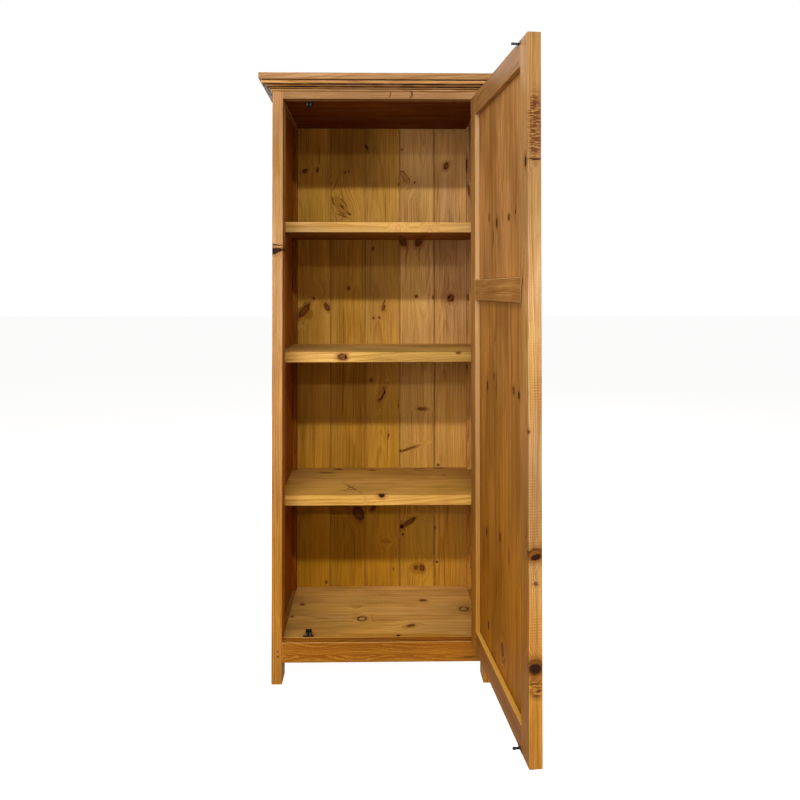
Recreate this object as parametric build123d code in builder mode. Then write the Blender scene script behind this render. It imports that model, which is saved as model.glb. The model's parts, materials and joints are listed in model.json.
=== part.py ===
from build123d import *

import math
import os

# Tall pine cabinet with one full-height inset door, four compartments and a moulded crown.
#
# The carcass is posts and rails with panelled sides, a tongue-and-groove back and housed shelves.
# The door is a grooved frame with three tenoned rails and two raised panels. It hangs on three butt
# hinges and is held shut by a double-roller catch at the floor and another under the ceiling.
#
# Millimetres. X is the width, Z is up, and the door opens towards -Y. The origin lies on the floor,
# in the middle of the box round the whole cabinet with its door standing open at door_open_angle.

os.makedirs("parts", exist_ok=True)

# ---------------------------------------------------------------- driving dimensions
overall_height = 1829.0
opening_width = 604.0           # between the front posts
body_depth = 436.0              # front of the posts to the back of the rear posts
post_width = 32.0
front_post_depth = 68.0
rear_post_depth = 44.0
leg_height = 64.0               # floor to the underside of the bottom rails
bottom_rail_height = 60.0
top_rail_height = 50.0
rail_thickness = 32.0
rail_tenon_length = 18.0
rail_tenon_thickness = 10.0
rail_tenon_shoulder = 10.0      # above and below each rail tenon
eased_edge = 2.0                # rounding of the edges that hands meet

shelf_thickness = 32.0
shelf_heights = {"shelf_lower": 545.0, "shelf_middle": 988.0, "shelf_upper": 1392.0}   # top faces
shelf_housing = 6.0             # how far a shelf is let into each post

side_panel_thickness = 10.0
side_panel_setback = 15.0       # inner face of the posts to the panel
side_groove_depth = 8.0
panel_float = 2.0               # room for a panel to move in the bottom of its groove
groove_clearance = 0.4          # groove width over panel thickness

back_board_count = 5
back_board_thickness = 12.0
back_rabbet = 8.0               # lap of the outer back boards on the rear posts
back_tongue_length = 6.0
back_tongue_thickness = 4.0
back_tongue_clearance = 0.3     # on each face of a tongue and at its tip
back_seam_chamfer = 1.5

top_board_thickness = 19.0
top_overhang = 37.0
crown_bottom_fillet = 5.0       # flat under the lowest bead
crown_ledge = 6.75              # flat between one bead and the next
crown_bead_radii = [4.0, 3.5, 4.5]
crown_uprights = [1.0, 1.5, 5.0]    # straight face over each bead
crown_lip = 4.0                 # upright under the lowest bead
crown_quirk_depth = 3.5         # sunk line under the top board
crown_quirk_height = 3.0

door_thickness = 31.0
door_side_gap = 3.0             # at the free edge
door_hinge_gap = 2.5            # at the hinge edge
door_end_gap = 3.0              # above and below the door
door_open_angle = 95.0          # from shut to the pose that is stored
stile_width = 62.0
door_rail_height = 59.0
middle_rail_centre = 1181.5
panel_recess = 13.0             # inner face of the frame to the panel
panel_tongue_thickness = 8.0
panel_raise = 6.0
panel_bevel_width = 36.0
door_groove_depth = 12.0
door_tenon_length = 25.0        # beyond the bottom of the groove
mortise_clearance = 1.0         # at the tip of each tenon

hinge_height = 75.0
hinge_end_distance = 190.0      # door end to the middle of the nearest hinge
hinge_leaf_thickness = 2.0
hinge_leaf_width = 26.0
hinge_knuckles = 3
knuckle_radius = 5.0
knuckle_end_gap = 0.3
pin_radius = 2.45
pin_bore_clearance = 0.05       # radial, in the knuckles that turn
pin_proud = 5.2                 # pin axis in front of the door's face
pin_head_height = 3.0
pin_head_radius = 4.2
pin_head_chamfer = 1.2
hinge_screws_per_leaf = 3

screw_head_radius = 3.0
screw_shank_radius = 1.5
screw_head_height = 1.5
screw_length = 16.0
screw_sides = 8                 # flats of the small screws
pin_sides = 16                  # flats of the small pins, axles and bores

catch_from_post = 75.0          # inner face of the left post to the middle of each catch
catch_front = 36.0              # front of the posts to the front of each catch
catch_width = 19.0
catch_depth = 20.0
catch_height = 15.0
catch_sheet = 1.2
catch_top_setback = 8.0         # front edge of the top sheet, so that the rollers show
catch_ear_span = 34.0
catch_ear_depth = 9.0
catch_ear_setback = 1.0         # front edge of the ears, from the front of the catch
roller_radius = 3.8
roller_gap = 3.0                # between the two rollers at rest
roller_setback = 4.5            # front of the catch to the roller axes
roller_axle_radius = 1.0
arm_length = 10.5
arm_plate = 1.2
arm_width = 4.8
arm_pivot_radius = 1.2
catch_running_clearance = 0.05  # radial, of the arms and rollers on their pins
catch_end_clearance = 0.4       # along the pins

strike_plate_length = 34.0
strike_plate_height = 8.0
strike_plate_thickness = 1.2
strike_plate_corner = 2.0       # cut off each corner
strike_screw_margin = 4.0       # end of the plate to the middle of a screw
spear_neck_width = 2.4
spear_head_width = 6.5
spear_thickness = 5.0
spear_neck_end = 11.3           # from the door's inner face to where the head starts
spear_head_widest = 13.3
spear_length = 18.0
spear_tip_width = 1.2

# ---------------------------------------------------------------- derived sizes
half_opening = opening_width / 2
half_body = half_opening + post_width
opening_bottom = leg_height + bottom_rail_height
post_top = overall_height - top_board_thickness
opening_top = post_top - top_rail_height
rear_post_front = body_depth - rear_post_depth
back_front = body_depth - back_board_thickness
panel_face = half_opening + side_panel_setback

door_width = opening_width - door_side_gap - door_hinge_gap
door_bottom = opening_bottom + door_end_gap
door_top = opening_top - door_end_gap
pin_x = half_opening - door_hinge_gap / 2
hinge_edge = door_hinge_gap / 2             # along the door, from the pin
free_edge = hinge_edge + door_width
outer_face = -pin_proud                     # across the door, from the pin, outwards
inner_face = outer_face - door_thickness

open_turn = math.radians(door_open_angle)
door_reach = free_edge * math.sin(open_turn) - inner_face * -math.cos(open_turn) + pin_proud
front_y = (door_reach - body_depth) / 2     # the posts' front face, in the cabinet's own frame
door_along = Vector(-math.cos(open_turn), -math.sin(open_turn), 0)
door_outward = Vector(math.sin(open_turn), -math.cos(open_turn), 0)


# ---------------------------------------------------------------- planes
def level(z):
    """Horizontal plane at height z, with its y measured back from the posts' front face."""
    return Plane((0, front_y, z))


def section(x):
    """Upright plane across the cabinet at x, seen along +X: local x is +Y, local y is up."""
    return Plane((x, front_y, 0), x_dir=(0, 1, 0), z_dir=(1, 0, 0))


def door_point(along, out, z):
    """Point of the door, from the pin: along the door, outwards across it, and up."""
    return Vector(pin_x, front_y - pin_proud, z) + door_along * along + door_outward * out


def door_level(z):
    """Horizontal plane of the door: local x runs to the free edge, local y outwards."""
    return Plane(door_point(0, 0, z), x_dir=door_along, z_dir=(0, 0, 1))


def door_section(along):
    """Plane across the door: local x is outwards, local y is up."""
    return Plane(door_point(along, 0, 0), x_dir=door_outward, z_dir=door_along)


def door_elevation(out):
    """Plane of the door's face at out: local x runs to the free edge, local y is up."""
    return Plane(door_point(0, out, 0), x_dir=door_along, z_dir=-door_outward)


def rectangle(x_low, x_high, y_low, y_high, mode=Mode.ADD):
    """A rectangle in the current sketch, given by its four sides."""
    with Locations(((x_low + x_high) / 2, (y_low + y_high) / 2)):
        Rectangle(abs(x_high - x_low), abs(y_high - y_low), mode=mode)


def keep(piece, label):
    """Name a finished piece and write it."""
    piece.part.label = label
    export_step(piece.part, f"parts/{label}.step")


# ---------------------------------------------------------------- screw
with BuildPart() as screw:
    with BuildSketch():
        RegularPolygon(screw_head_radius, screw_sides)
    extrude(amount=-screw_head_height)
    head_flare = (screw_head_radius - screw_shank_radius) * math.cos(math.pi / screw_sides)
    chamfer(screw.edges().group_by(Axis.Z)[0], head_flare)
    with BuildSketch(Plane.XY.offset(-screw_head_height)):
        RegularPolygon(screw_shank_radius, screw_sides)
    extrude(amount=screw_head_height - screw_length)

hinge_half = hinge_height / 2
hinge_centres = [
    door_bottom + hinge_end_distance,
    (door_bottom + door_top) / 2,
    door_top - hinge_end_distance,
]
screw_pitch = hinge_height / hinge_screws_per_leaf
screw_offsets = [(k - (hinge_screws_per_leaf - 1) / 2) * screw_pitch for k in range(hinge_screws_per_leaf)]
screw_line = hinge_leaf_width / 2           # from the face that the leaf starts at
post_screw_places = [
    Plane((half_opening, front_y + screw_line, centre + offset), z_dir=(-1, 0, 0)).location
    for centre in hinge_centres for offset in screw_offsets
]
door_screw_places = [
    Plane(door_point(hinge_edge, outer_face - screw_line, centre + offset), z_dir=-door_along).location
    for centre in hinge_centres for offset in screw_offsets
]

# ---------------------------------------------------------------- posts
rail_spans = {"bottom": (leg_height, opening_bottom), "top": (opening_top, post_top)}


def tenon_span(rail):
    """Lower and upper edge of a rail's tenons."""
    low, high = rail_spans[rail]
    return low + rail_tenon_shoulder, high - rail_tenon_shoulder


front_tenon_y = (rail_thickness - rail_tenon_thickness) / 2, (rail_thickness + rail_tenon_thickness) / 2
panel_span_x = panel_face, panel_face + side_panel_thickness
panel_groove_x = panel_face - groove_clearance / 2, panel_span_x[1] + groove_clearance / 2
side_tenon_x = (half_opening + (rail_thickness - rail_tenon_thickness) / 2,
                half_opening + (rail_thickness + rail_tenon_thickness) / 2)
panel_groove_z = opening_bottom - side_groove_depth, opening_top + side_groove_depth

for side, name in ((-1, "left"), (1, "right")):
    with BuildPart() as front_post:
        with BuildSketch(level(0)) as front_post_profile:
            rectangle(side * half_opening, side * half_body, 0, front_post_depth)
            fillet(front_post_profile.vertices().group_by(Axis.Y)[0], eased_edge)
        extrude(amount=post_top)
        # groove for the side panel, and a housing for each shelf
        with BuildSketch(level(panel_groove_z[0])):
            rectangle(side * panel_groove_x[0], side * panel_groove_x[1],
                      front_post_depth - side_groove_depth, front_post_depth)
        extrude(amount=panel_groove_z[1] - panel_groove_z[0], mode=Mode.SUBTRACT)
        for shelf_top in shelf_heights.values():
            with BuildSketch(level(shelf_top)):
                rectangle(side * half_opening, side * panel_face,
                          front_post_depth - shelf_housing, front_post_depth)
            extrude(amount=-shelf_thickness, mode=Mode.SUBTRACT)
        # mortises for the front rails and the side rails
        for rail in rail_spans:
            low, high = tenon_span(rail)
            with BuildSketch(level(low)):
                rectangle(side * half_opening, side * (half_opening + rail_tenon_length), *front_tenon_y)
                rectangle(side * side_tenon_x[0], side * side_tenon_x[1],
                          front_post_depth - rail_tenon_length, front_post_depth)
            extrude(amount=high - low, mode=Mode.SUBTRACT)
        if name == "right":
            # gains and screw holes for the hinge leaves
            for centre in hinge_centres:
                with BuildSketch(level(centre - hinge_half)):
                    rectangle(half_opening, half_opening + hinge_leaf_thickness, 0, hinge_leaf_width)
                extrude(amount=hinge_height, mode=Mode.SUBTRACT)
            with Locations(*post_screw_places):
                add(screw.part, mode=Mode.SUBTRACT)
    keep(front_post, f"front_post_{name}")

    with BuildPart() as rear_post:
        with BuildSketch(level(0)) as rear_post_profile:
            rectangle(side * half_opening, side * half_body, rear_post_front, body_depth)
            fillet(rear_post_profile.vertices().group_by(Axis.X)[0 if side < 0 else -1], eased_edge)
            rectangle(side * half_opening, side * (half_opening + back_rabbet), back_front, body_depth,
                      mode=Mode.SUBTRACT)
        extrude(amount=post_top)
        with BuildSketch(level(panel_groove_z[0])):
            rectangle(side * panel_groove_x[0], side * panel_groove_x[1],
                      rear_post_front, rear_post_front + side_groove_depth)
        extrude(amount=panel_groove_z[1] - panel_groove_z[0], mode=Mode.SUBTRACT)
        for shelf_top in shelf_heights.values():
            with BuildSketch(level(shelf_top)):
                rectangle(side * half_opening, side * panel_face,
                          rear_post_front, rear_post_front + shelf_housing)
            extrude(amount=-shelf_thickness, mode=Mode.SUBTRACT)
        for rail in rail_spans:
            low, high = tenon_span(rail)
            with BuildSketch(level(low)):
                rectangle(side * side_tenon_x[0], side * side_tenon_x[1],
                          rear_post_front, rear_post_front + rail_tenon_length)
            extrude(amount=high - low, mode=Mode.SUBTRACT)
    keep(rear_post, f"rear_post_{name}")

    # side rails, tenoned into both posts, and the panel that they and the posts hold
    for rail, (low, high) in rail_spans.items():
        groove_low = high - side_groove_depth if rail == "bottom" else low
        with BuildPart() as side_rail:
            with BuildSketch(level(low)):
                rectangle(side * half_opening, side * (half_opening + rail_thickness),
                          front_post_depth, rear_post_front)
            extrude(amount=high - low)
            with BuildSketch(level(tenon_span(rail)[0])):
                rectangle(side * side_tenon_x[0], side * side_tenon_x[1],
                          front_post_depth - rail_tenon_length, rear_post_front + rail_tenon_length)
            extrude(amount=tenon_span(rail)[1] - tenon_span(rail)[0])
            with BuildSketch(level(groove_low)):
                rectangle(side * panel_groove_x[0], side * panel_groove_x[1],
                          front_post_depth - side_groove_depth, rear_post_front + side_groove_depth)
            extrude(amount=side_groove_depth, mode=Mode.SUBTRACT)
        keep(side_rail, f"side_rail_{rail}_{name}")

    with BuildPart() as side_panel:
        with BuildSketch(level(panel_groove_z[0])):
            rectangle(side * panel_span_x[0], side * panel_span_x[1],
                      front_post_depth - side_groove_depth + panel_float,
                      rear_post_front + side_groove_depth - panel_float)
        extrude(amount=panel_groove_z[1] - panel_groove_z[0] - panel_float)
    keep(side_panel, f"side_panel_{name}")

# ---------------------------------------------------------------- front rails
for rail, (low, high) in rail_spans.items():
    with BuildPart() as front_rail:
        with BuildSketch(level(low)):
            rectangle(-half_opening, half_opening, 0, rail_thickness)
        extrude(amount=high - low)
        with BuildSketch(level(tenon_span(rail)[0])):
            rectangle(-half_opening - rail_tenon_length, half_opening + rail_tenon_length, *front_tenon_y)
        extrude(amount=tenon_span(rail)[1] - tenon_span(rail)[0])
    keep(front_rail, f"front_rail_{rail}")

# ---------------------------------------------------------------- catch geometry shared with the boards
catch_x = -half_opening + catch_from_post
catch_middle = catch_height / 2             # rollers and spear, from the face that the catch sits on
catch_bases = {
    "floor": Plane((catch_x, front_y + catch_front, opening_bottom), x_dir=(1, 0, 0), z_dir=(0, 0, 1)),
    "ceiling": Plane((catch_x, front_y + catch_front, opening_top), x_dir=(-1, 0, 0), z_dir=(0, 0, -1)),
}
ear_reach = (catch_ear_span + catch_width) / 4      # middle of an ear, from the middle of the catch
catch_screw_places = [
    Plane(base.from_local_coords((side * ear_reach, catch_ear_setback + catch_ear_depth / 2, catch_sheet)),
          x_dir=base.x_dir, z_dir=base.z_dir).location
    for base in catch_bases.values() for side in (-1, 1)
]

# ---------------------------------------------------------------- floor, ceiling and shelves
for name, low in (("floor_board", opening_bottom - shelf_thickness), ("ceiling_board", opening_top)):
    with BuildPart() as end_board:
        with BuildSketch(level(low)):
            rectangle(-half_opening, half_opening, rail_thickness, back_front)
        extrude(amount=shelf_thickness)
        with Locations(*catch_screw_places):
            add(screw.part, mode=Mode.SUBTRACT)
    keep(end_board, name)

for name, shelf_top in shelf_heights.items():
    with BuildPart() as shelf:
        with BuildSketch(level(shelf_top - shelf_thickness)) as shelf_outline:
            rectangle(-half_opening, half_opening, front_post_depth, back_front)
            rectangle(-panel_face, panel_face, front_post_depth - shelf_housing,
                      rear_post_front + shelf_housing)
            rectangle(-half_opening, half_opening, front_post_depth - shelf_housing, front_post_depth,
                      mode=Mode.SUBTRACT)
        extrude(amount=shelf_thickness)
        front_edges = shelf.edges().filter_by(Axis.X).filter_by(
            lambda edge: abs(edge.center().Y - front_y - front_post_depth) < eased_edge
            and edge.length > half_opening)
        fillet(front_edges, eased_edge)
    keep(shelf, name)

# ---------------------------------------------------------------- back boards
board_pitch = (opening_width + 2 * back_rabbet) / back_board_count
board_bottom = leg_height
tongue_low = (back_board_thickness - back_tongue_thickness) / 2
for index in range(back_board_count):
    left = -half_opening - back_rabbet + index * board_pitch
    right = left + board_pitch
    with BuildPart() as back_board:
        with BuildSketch(level(board_bottom)) as board_profile:
            rectangle(left, right, back_front, body_depth)
            front_corners = board_profile.vertices().group_by(Axis.Y)[0].sort_by(Axis.X)
            seams = []
            if index > 0:
                seams.append(front_corners[0])
            if index < back_board_count - 1:
                seams.append(front_corners[-1])
            chamfer(seams, back_seam_chamfer)
            if index > 0:
                rectangle(left, left + back_tongue_length + back_tongue_clearance,
                          back_front + tongue_low - back_tongue_clearance,
                          body_depth - tongue_low + back_tongue_clearance, mode=Mode.SUBTRACT)
            if index < back_board_count - 1:
                rectangle(right, right + back_tongue_length, back_front + tongue_low,
                          body_depth - tongue_low)
        extrude(amount=post_top - board_bottom)
    keep(back_board, f"back_board_{index + 1}")

# ---------------------------------------------------------------- top board and crown moulding
with BuildPart() as top_board:
    with BuildSketch(level(post_top)):
        rectangle(-half_body - top_overhang, half_body + top_overhang, -top_overhang, body_depth)
    extrude(amount=top_board_thickness)
    chamfer(top_board.faces().sort_by(Axis.Y)[0].edges().filter_by(Axis.X), eased_edge / 2)
    for end in (0, -1):
        end_face = top_board.faces().filter_by(Axis.X).sort_by(Axis.X)[end]
        chamfer(end_face.edges().filter_by(Axis.Y), eased_edge / 2)
keep(top_board, "top_board")

crown_height = crown_lip + sum(crown_bead_radii) + sum(crown_uprights) + crown_quirk_height


def crown_profile(outward):
    """Section of the crown: three stepped beads, each further out, under a sunk line."""
    out, rise = crown_bottom_fillet, post_top - crown_height
    with BuildSketch() as profile:
        with BuildLine():
            Polyline((0, post_top), (0, rise), (outward * out, rise), (outward * out, rise + crown_lip))
            rise += crown_lip
            for count, (radius, upright) in enumerate(zip(crown_bead_radii, crown_uprights)):
                if count > 0:
                    Line((outward * out, rise), (outward * (out + crown_ledge), rise))
                    out += crown_ledge
                lean = radius * math.sqrt(0.5)
                ThreePointArc((outward * out, rise), (outward * (out + lean), rise + radius - lean),
                              (outward * (out + radius), rise + radius))
                out += radius
                rise += radius
                Line((outward * out, rise), (outward * out, rise + upright))
                rise += upright
            quirk = out - crown_quirk_depth
            Polyline((outward * out, rise), (outward * quirk, rise),
                     (outward * quirk, post_top), (0, post_top))
        make_face()
    return profile.sketch


front_section = crown_profile(-1)
mitre_left = Plane((-half_body, front_y, 0), z_dir=(1, -1, 0))
mitre_right = Plane((half_body, front_y, 0), z_dir=(-1, -1, 0))
with BuildPart() as crown_front:
    with BuildSketch(section(-half_body - top_overhang)):
        add(front_section)
    extrude(amount=2 * (half_body + top_overhang))
    split(bisect_by=mitre_left, keep=Keep.TOP)
    split(bisect_by=mitre_right, keep=Keep.TOP)
keep(crown_front, "crown_front")

for side, name, mitre in ((-1, "left", mitre_left), (1, "right", mitre_right)):
    return_section = crown_profile(side)
    with BuildPart() as crown_return:
        rear_end = Plane((side * half_body, front_y + body_depth, 0), x_dir=(1, 0, 0), z_dir=(0, -1, 0))
        with BuildSketch(rear_end):
            add(return_section)
        extrude(amount=body_depth + top_overhang)
        split(bisect_by=mitre, keep=Keep.BOTTOM)
    keep(crown_return, f"crown_{name}")

# ---------------------------------------------------------------- door frame
groove_low = inner_face + panel_recess      # across the door
groove_high = groove_low + panel_tongue_thickness + groove_clearance
half_rail = door_rail_height / 2
door_rails = {
    "bottom": (door_bottom, door_bottom + door_rail_height),
    "middle": (middle_rail_centre - half_rail, middle_rail_centre + half_rail),
    "top": (door_top - door_rail_height, door_top),
}
stiles = {"hinge": (hinge_edge, hinge_edge + stile_width), "free": (free_edge - stile_width, free_edge)}
shoulders = stiles["hinge"][1], stiles["free"][0]
catch_inset = catch_middle - door_end_gap   # spear axis, from the end of the door
strike_along = free_edge + door_side_gap - catch_from_post
strike_heights = {"bottom": door_bottom + catch_inset, "top": door_top - catch_inset}
strike_screw_reach = strike_plate_length / 2 - strike_screw_margin
strike_screw_places = [
    Plane(door_point(strike_along + side * strike_screw_reach, inner_face - strike_plate_thickness, z),
          x_dir=door_along, z_dir=-door_outward).location
    for z in strike_heights.values() for side in (-1, 1)
]

for name, (low, high) in stiles.items():
    grooved = high if name == "hinge" else low      # the edge that faces the panels
    inward = -1 if name == "hinge" else 1           # from that edge into the stile
    groove_bottom = grooved + inward * door_groove_depth
    with BuildPart() as stile:
        with BuildSketch(door_level(door_bottom)) as stile_profile:
            rectangle(low, high, inner_face, outer_face)
            outer_corners = stile_profile.vertices().group_by(Axis.X)[-1 if name == "free" else 0]
            fillet(outer_corners, eased_edge)
            rectangle(grooved, groove_bottom, groove_low, groove_high, mode=Mode.SUBTRACT)
        extrude(amount=door_top - door_bottom)
        for rail_low, rail_high in door_rails.values():
            with BuildSketch(door_level(rail_low + door_groove_depth)):
                rectangle(groove_bottom, groove_bottom + inward * (door_tenon_length + mortise_clearance),
                          groove_low, groove_high)
            extrude(amount=door_rail_height - 2 * door_groove_depth, mode=Mode.SUBTRACT)
        if name == "hinge":
            for centre in hinge_centres:
                with BuildSketch(door_level(centre - hinge_half)):
                    rectangle(hinge_edge, hinge_edge + hinge_leaf_thickness,
                              outer_face - hinge_leaf_width, outer_face)
                extrude(amount=hinge_height, mode=Mode.SUBTRACT)
        with Locations(*(door_screw_places if name == "hinge" else strike_screw_places)):
            add(screw.part, mode=Mode.SUBTRACT)
    keep(stile, f"door_stile_{name}")

for name, (low, high) in door_rails.items():
    haunch_low = low + (0 if name == "bottom" else door_groove_depth)
    haunch_high = high - (0 if name == "top" else door_groove_depth)
    with BuildPart() as door_rail:
        with BuildSketch(door_section(shoulders[0])):
            rectangle(inner_face, outer_face, low, high)
            if name != "bottom":
                rectangle(groove_low, groove_high, low, haunch_low, mode=Mode.SUBTRACT)
            if name != "top":
                rectangle(groove_low, groove_high, haunch_high, high, mode=Mode.SUBTRACT)
        extrude(amount=shoulders[1] - shoulders[0])
        # haunches fill the stiles' grooves, and the tenons go on into the mortises
        with BuildSketch(door_section(shoulders[0] - door_groove_depth)):
            rectangle(groove_low, groove_high, haunch_low, haunch_high)
        extrude(amount=shoulders[1] - shoulders[0] + 2 * door_groove_depth)
        with BuildSketch(door_section(shoulders[0] - door_groove_depth - door_tenon_length)):
            rectangle(groove_low, groove_high, low + door_groove_depth, high - door_groove_depth)
        extrude(amount=shoulders[1] - shoulders[0] + 2 * (door_groove_depth + door_tenon_length))
        if name in strike_heights:
            with Locations(*strike_screw_places):
                add(screw.part, mode=Mode.SUBTRACT)
    keep(door_rail, f"door_rail_{name}")

panel_reach = door_groove_depth - panel_float
panel_inner = groove_low + groove_clearance / 2
panel_spans = {
    "lower": (door_rails["bottom"][1], door_rails["middle"][0]),
    "upper": (door_rails["middle"][1], door_rails["top"][0]),
}
for name, (low, high) in panel_spans.items():
    with BuildPart() as door_panel:
        with BuildSketch(door_elevation(panel_inner + panel_tongue_thickness)):
            rectangle(shoulders[0] - panel_reach, shoulders[1] + panel_reach,
                      low - panel_reach, high + panel_reach)
        extrude(amount=panel_tongue_thickness)
        with BuildSketch(door_elevation(panel_inner + panel_tongue_thickness)):
            rectangle(shoulders[0] + groove_clearance, shoulders[1] - groove_clearance,
                      low + groove_clearance, high - groove_clearance)
        with BuildSketch(door_elevation(panel_inner + panel_tongue_thickness + panel_raise)):
            rectangle(shoulders[0] + panel_bevel_width, shoulders[1] - panel_bevel_width,
                      low + panel_bevel_width, high - panel_bevel_width)
        loft()
    keep(door_panel, f"door_panel_{name}")

# ---------------------------------------------------------------- hinges
knuckle_pitch = hinge_height / hinge_knuckles
turning_bore = pin_radius + pin_bore_clearance
for number, centre in enumerate(hinge_centres, start=1):
    knuckle_bottoms = [centre - hinge_half + k * knuckle_pitch for k in range(hinge_knuckles)]
    with BuildPart() as post_leaf:
        with BuildSketch(level(centre - hinge_half)):
            rectangle(half_opening, half_opening + hinge_leaf_thickness, 0, hinge_leaf_width)
        extrude(amount=hinge_height)
        for bottom in knuckle_bottoms[::2]:
            with BuildSketch(level(bottom)):
                rectangle(half_opening, half_opening + hinge_leaf_thickness, -pin_proud, 0)
                with Locations((pin_x, -pin_proud)):
                    Circle(knuckle_radius)
            extrude(amount=knuckle_pitch - knuckle_end_gap)
        with BuildSketch(level(centre - hinge_half)):
            with Locations((pin_x, -pin_proud)):
                RegularPolygon(pin_radius, pin_sides)
        extrude(amount=hinge_height, mode=Mode.SUBTRACT)
        with Locations(*post_screw_places):
            add(screw.part, mode=Mode.SUBTRACT)
    keep(post_leaf, f"hinge_{number}_post_leaf")

    with BuildPart() as door_leaf:
        with BuildSketch(door_level(centre - hinge_half)):
            rectangle(hinge_edge, hinge_edge + hinge_leaf_thickness,
                      outer_face - hinge_leaf_width, outer_face)
        extrude(amount=hinge_height)
        for bottom in knuckle_bottoms[1::2]:
            with BuildSketch(door_level(bottom)):
                rectangle(hinge_edge, hinge_edge + hinge_leaf_thickness, outer_face, 0)
                Circle(knuckle_radius)
            extrude(amount=knuckle_pitch - knuckle_end_gap)
        with BuildSketch(door_level(centre - hinge_half)):
            RegularPolygon(turning_bore, pin_sides, major_radius=False)
        extrude(amount=hinge_height, mode=Mode.SUBTRACT)
        with Locations(*door_screw_places):
            add(screw.part, mode=Mode.SUBTRACT)
    keep(door_leaf, f"hinge_{number}_door_leaf")

    with BuildPart() as hinge_pin:
        with BuildSketch(level(centre - hinge_half)):
            with Locations((pin_x, -pin_proud)):
                RegularPolygon(pin_radius, pin_sides)
        extrude(amount=hinge_height - knuckle_end_gap)
        with BuildSketch(level(centre + hinge_half - knuckle_end_gap)):
            with Locations((pin_x, -pin_proud)):
                RegularPolygon(pin_head_radius, pin_sides)
        extrude(amount=pin_head_height)
        chamfer(hinge_pin.faces().sort_by(Axis.Z)[-1].edges(), pin_head_chamfer)
    keep(hinge_pin, f"hinge_{number}_pin")

for name, places in (("hinge_screws_post", post_screw_places), ("hinge_screws_door", door_screw_places),
                     ("catch_screws", catch_screw_places), ("strike_screws", strike_screw_places)):
    with BuildPart() as screws:
        with Locations(*places):
            add(screw.part)
    keep(screws, name)

# ---------------------------------------------------------------- double-roller catches
roller_x = roller_gap / 2 + roller_radius
pivot_y = roller_setback + arm_length
arm_low = catch_sheet + catch_end_clearance
arm_high = catch_height - catch_sheet - catch_end_clearance
roller_low = arm_low + arm_plate + catch_end_clearance
roller_high = arm_high - arm_plate - catch_end_clearance


def above(base, height):
    """The plane that lies parallel to a catch's base, height away from the mounting face."""
    return base.offset(height)


for place, base in catch_bases.items():
    with BuildPart() as case:
        with BuildSketch(base):
            rectangle(-catch_width / 2, catch_width / 2, 0, catch_depth)
            rectangle(-catch_ear_span / 2, catch_ear_span / 2,
                      catch_ear_setback, catch_ear_setback + catch_ear_depth)
        extrude(amount=catch_sheet)
        with BuildSketch(base):
            rectangle(-catch_width / 2, catch_width / 2, catch_depth - catch_sheet, catch_depth)
        extrude(amount=catch_height)
        with BuildSketch(above(base, catch_height - catch_sheet)):
            rectangle(-catch_width / 2, catch_width / 2, catch_top_setback, catch_depth)
        extrude(amount=catch_sheet)
        with BuildSketch(base):
            with Locations((-roller_x, pivot_y), (roller_x, pivot_y)):
                RegularPolygon(arm_pivot_radius, pin_sides)
        extrude(amount=catch_height)
        with Locations(*catch_screw_places):
            add(screw.part, mode=Mode.SUBTRACT)
    keep(case, f"catch_{place}_case")

    for side, name in ((-1, "a"), (1, "b")):
        with BuildPart() as arm:
            for low in (arm_low, arm_high - arm_plate):
                with BuildSketch(above(base, low)):
                    rectangle(side * roller_x - arm_width / 2, side * roller_x + arm_width / 2,
                              roller_setback - arm_width / 2, pivot_y + arm_width / 2)
                extrude(amount=arm_plate)
            with BuildSketch(above(base, arm_low)):
                with Locations((side * roller_x, pivot_y)):
                    Circle(arm_width / 2)
                with Locations((side * roller_x, roller_setback)):
                    RegularPolygon(roller_axle_radius, pin_sides)
            extrude(amount=arm_high - arm_low)
            with BuildSketch(above(base, arm_low)):
                with Locations((side * roller_x, pivot_y)):
                    RegularPolygon(arm_pivot_radius + catch_running_clearance, pin_sides, major_radius=False)
            extrude(amount=arm_high - arm_low, mode=Mode.SUBTRACT)
        keep(arm, f"catch_{place}_arm_{name}")

        with BuildPart() as roller:
            with BuildSketch(above(base, roller_low)):
                with Locations((side * roller_x, roller_setback)):
                    Circle(roller_radius)
                    RegularPolygon(roller_axle_radius + catch_running_clearance, pin_sides,
                                   major_radius=False, mode=Mode.SUBTRACT)
            extrude(amount=roller_high - roller_low)
        keep(roller, f"catch_{place}_roller_{name}")

# ---------------------------------------------------------------- spear strikes
for name, z in strike_heights.items():
    with BuildPart() as strike:
        with BuildSketch(door_elevation(inner_face)) as strike_plate:
            with Locations((strike_along, z)):
                Rectangle(strike_plate_length, strike_plate_height)
            chamfer(strike_plate.vertices(), strike_plate_corner)
        extrude(amount=strike_plate_thickness)
        with BuildSketch(door_level(z - spear_thickness / 2)):
            with BuildLine():
                half_outline = [
                    (spear_neck_width / 2, 0),
                    (spear_neck_width / 2, spear_neck_end),
                    (spear_head_width / 2, spear_head_widest),
                    (spear_tip_width / 2, spear_length),
                ]
                outline = [(strike_along + x, inner_face - y) for x, y in half_outline]
                outline += [(strike_along - x, inner_face - y) for x, y in reversed(half_outline)]
                Polyline(*outline, close=True)
            make_face()
        extrude(amount=spear_thickness)
        with Locations(*strike_screw_places):
            add(screw.part, mode=Mode.SUBTRACT)
    keep(strike, f"strike_{name}")
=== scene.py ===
"""Finish and stage a tall pine cabinet with one inset door.

Every board keeps the shape of its solid, gets its sharp edges eased, and is dressed in solid
wood: growth rings round a pith, fibres that part round the knots, stain and wear, and tints of
painted light and shade. The hardware is blackened steel with cross-recess screws. Lengths are
metres unless a name or note says mm.
"""
import json
import logging
import math
import random
from dataclasses import dataclass
from enum import Enum

import bmesh
import bpy
from mathutils import Matrix, Vector

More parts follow.
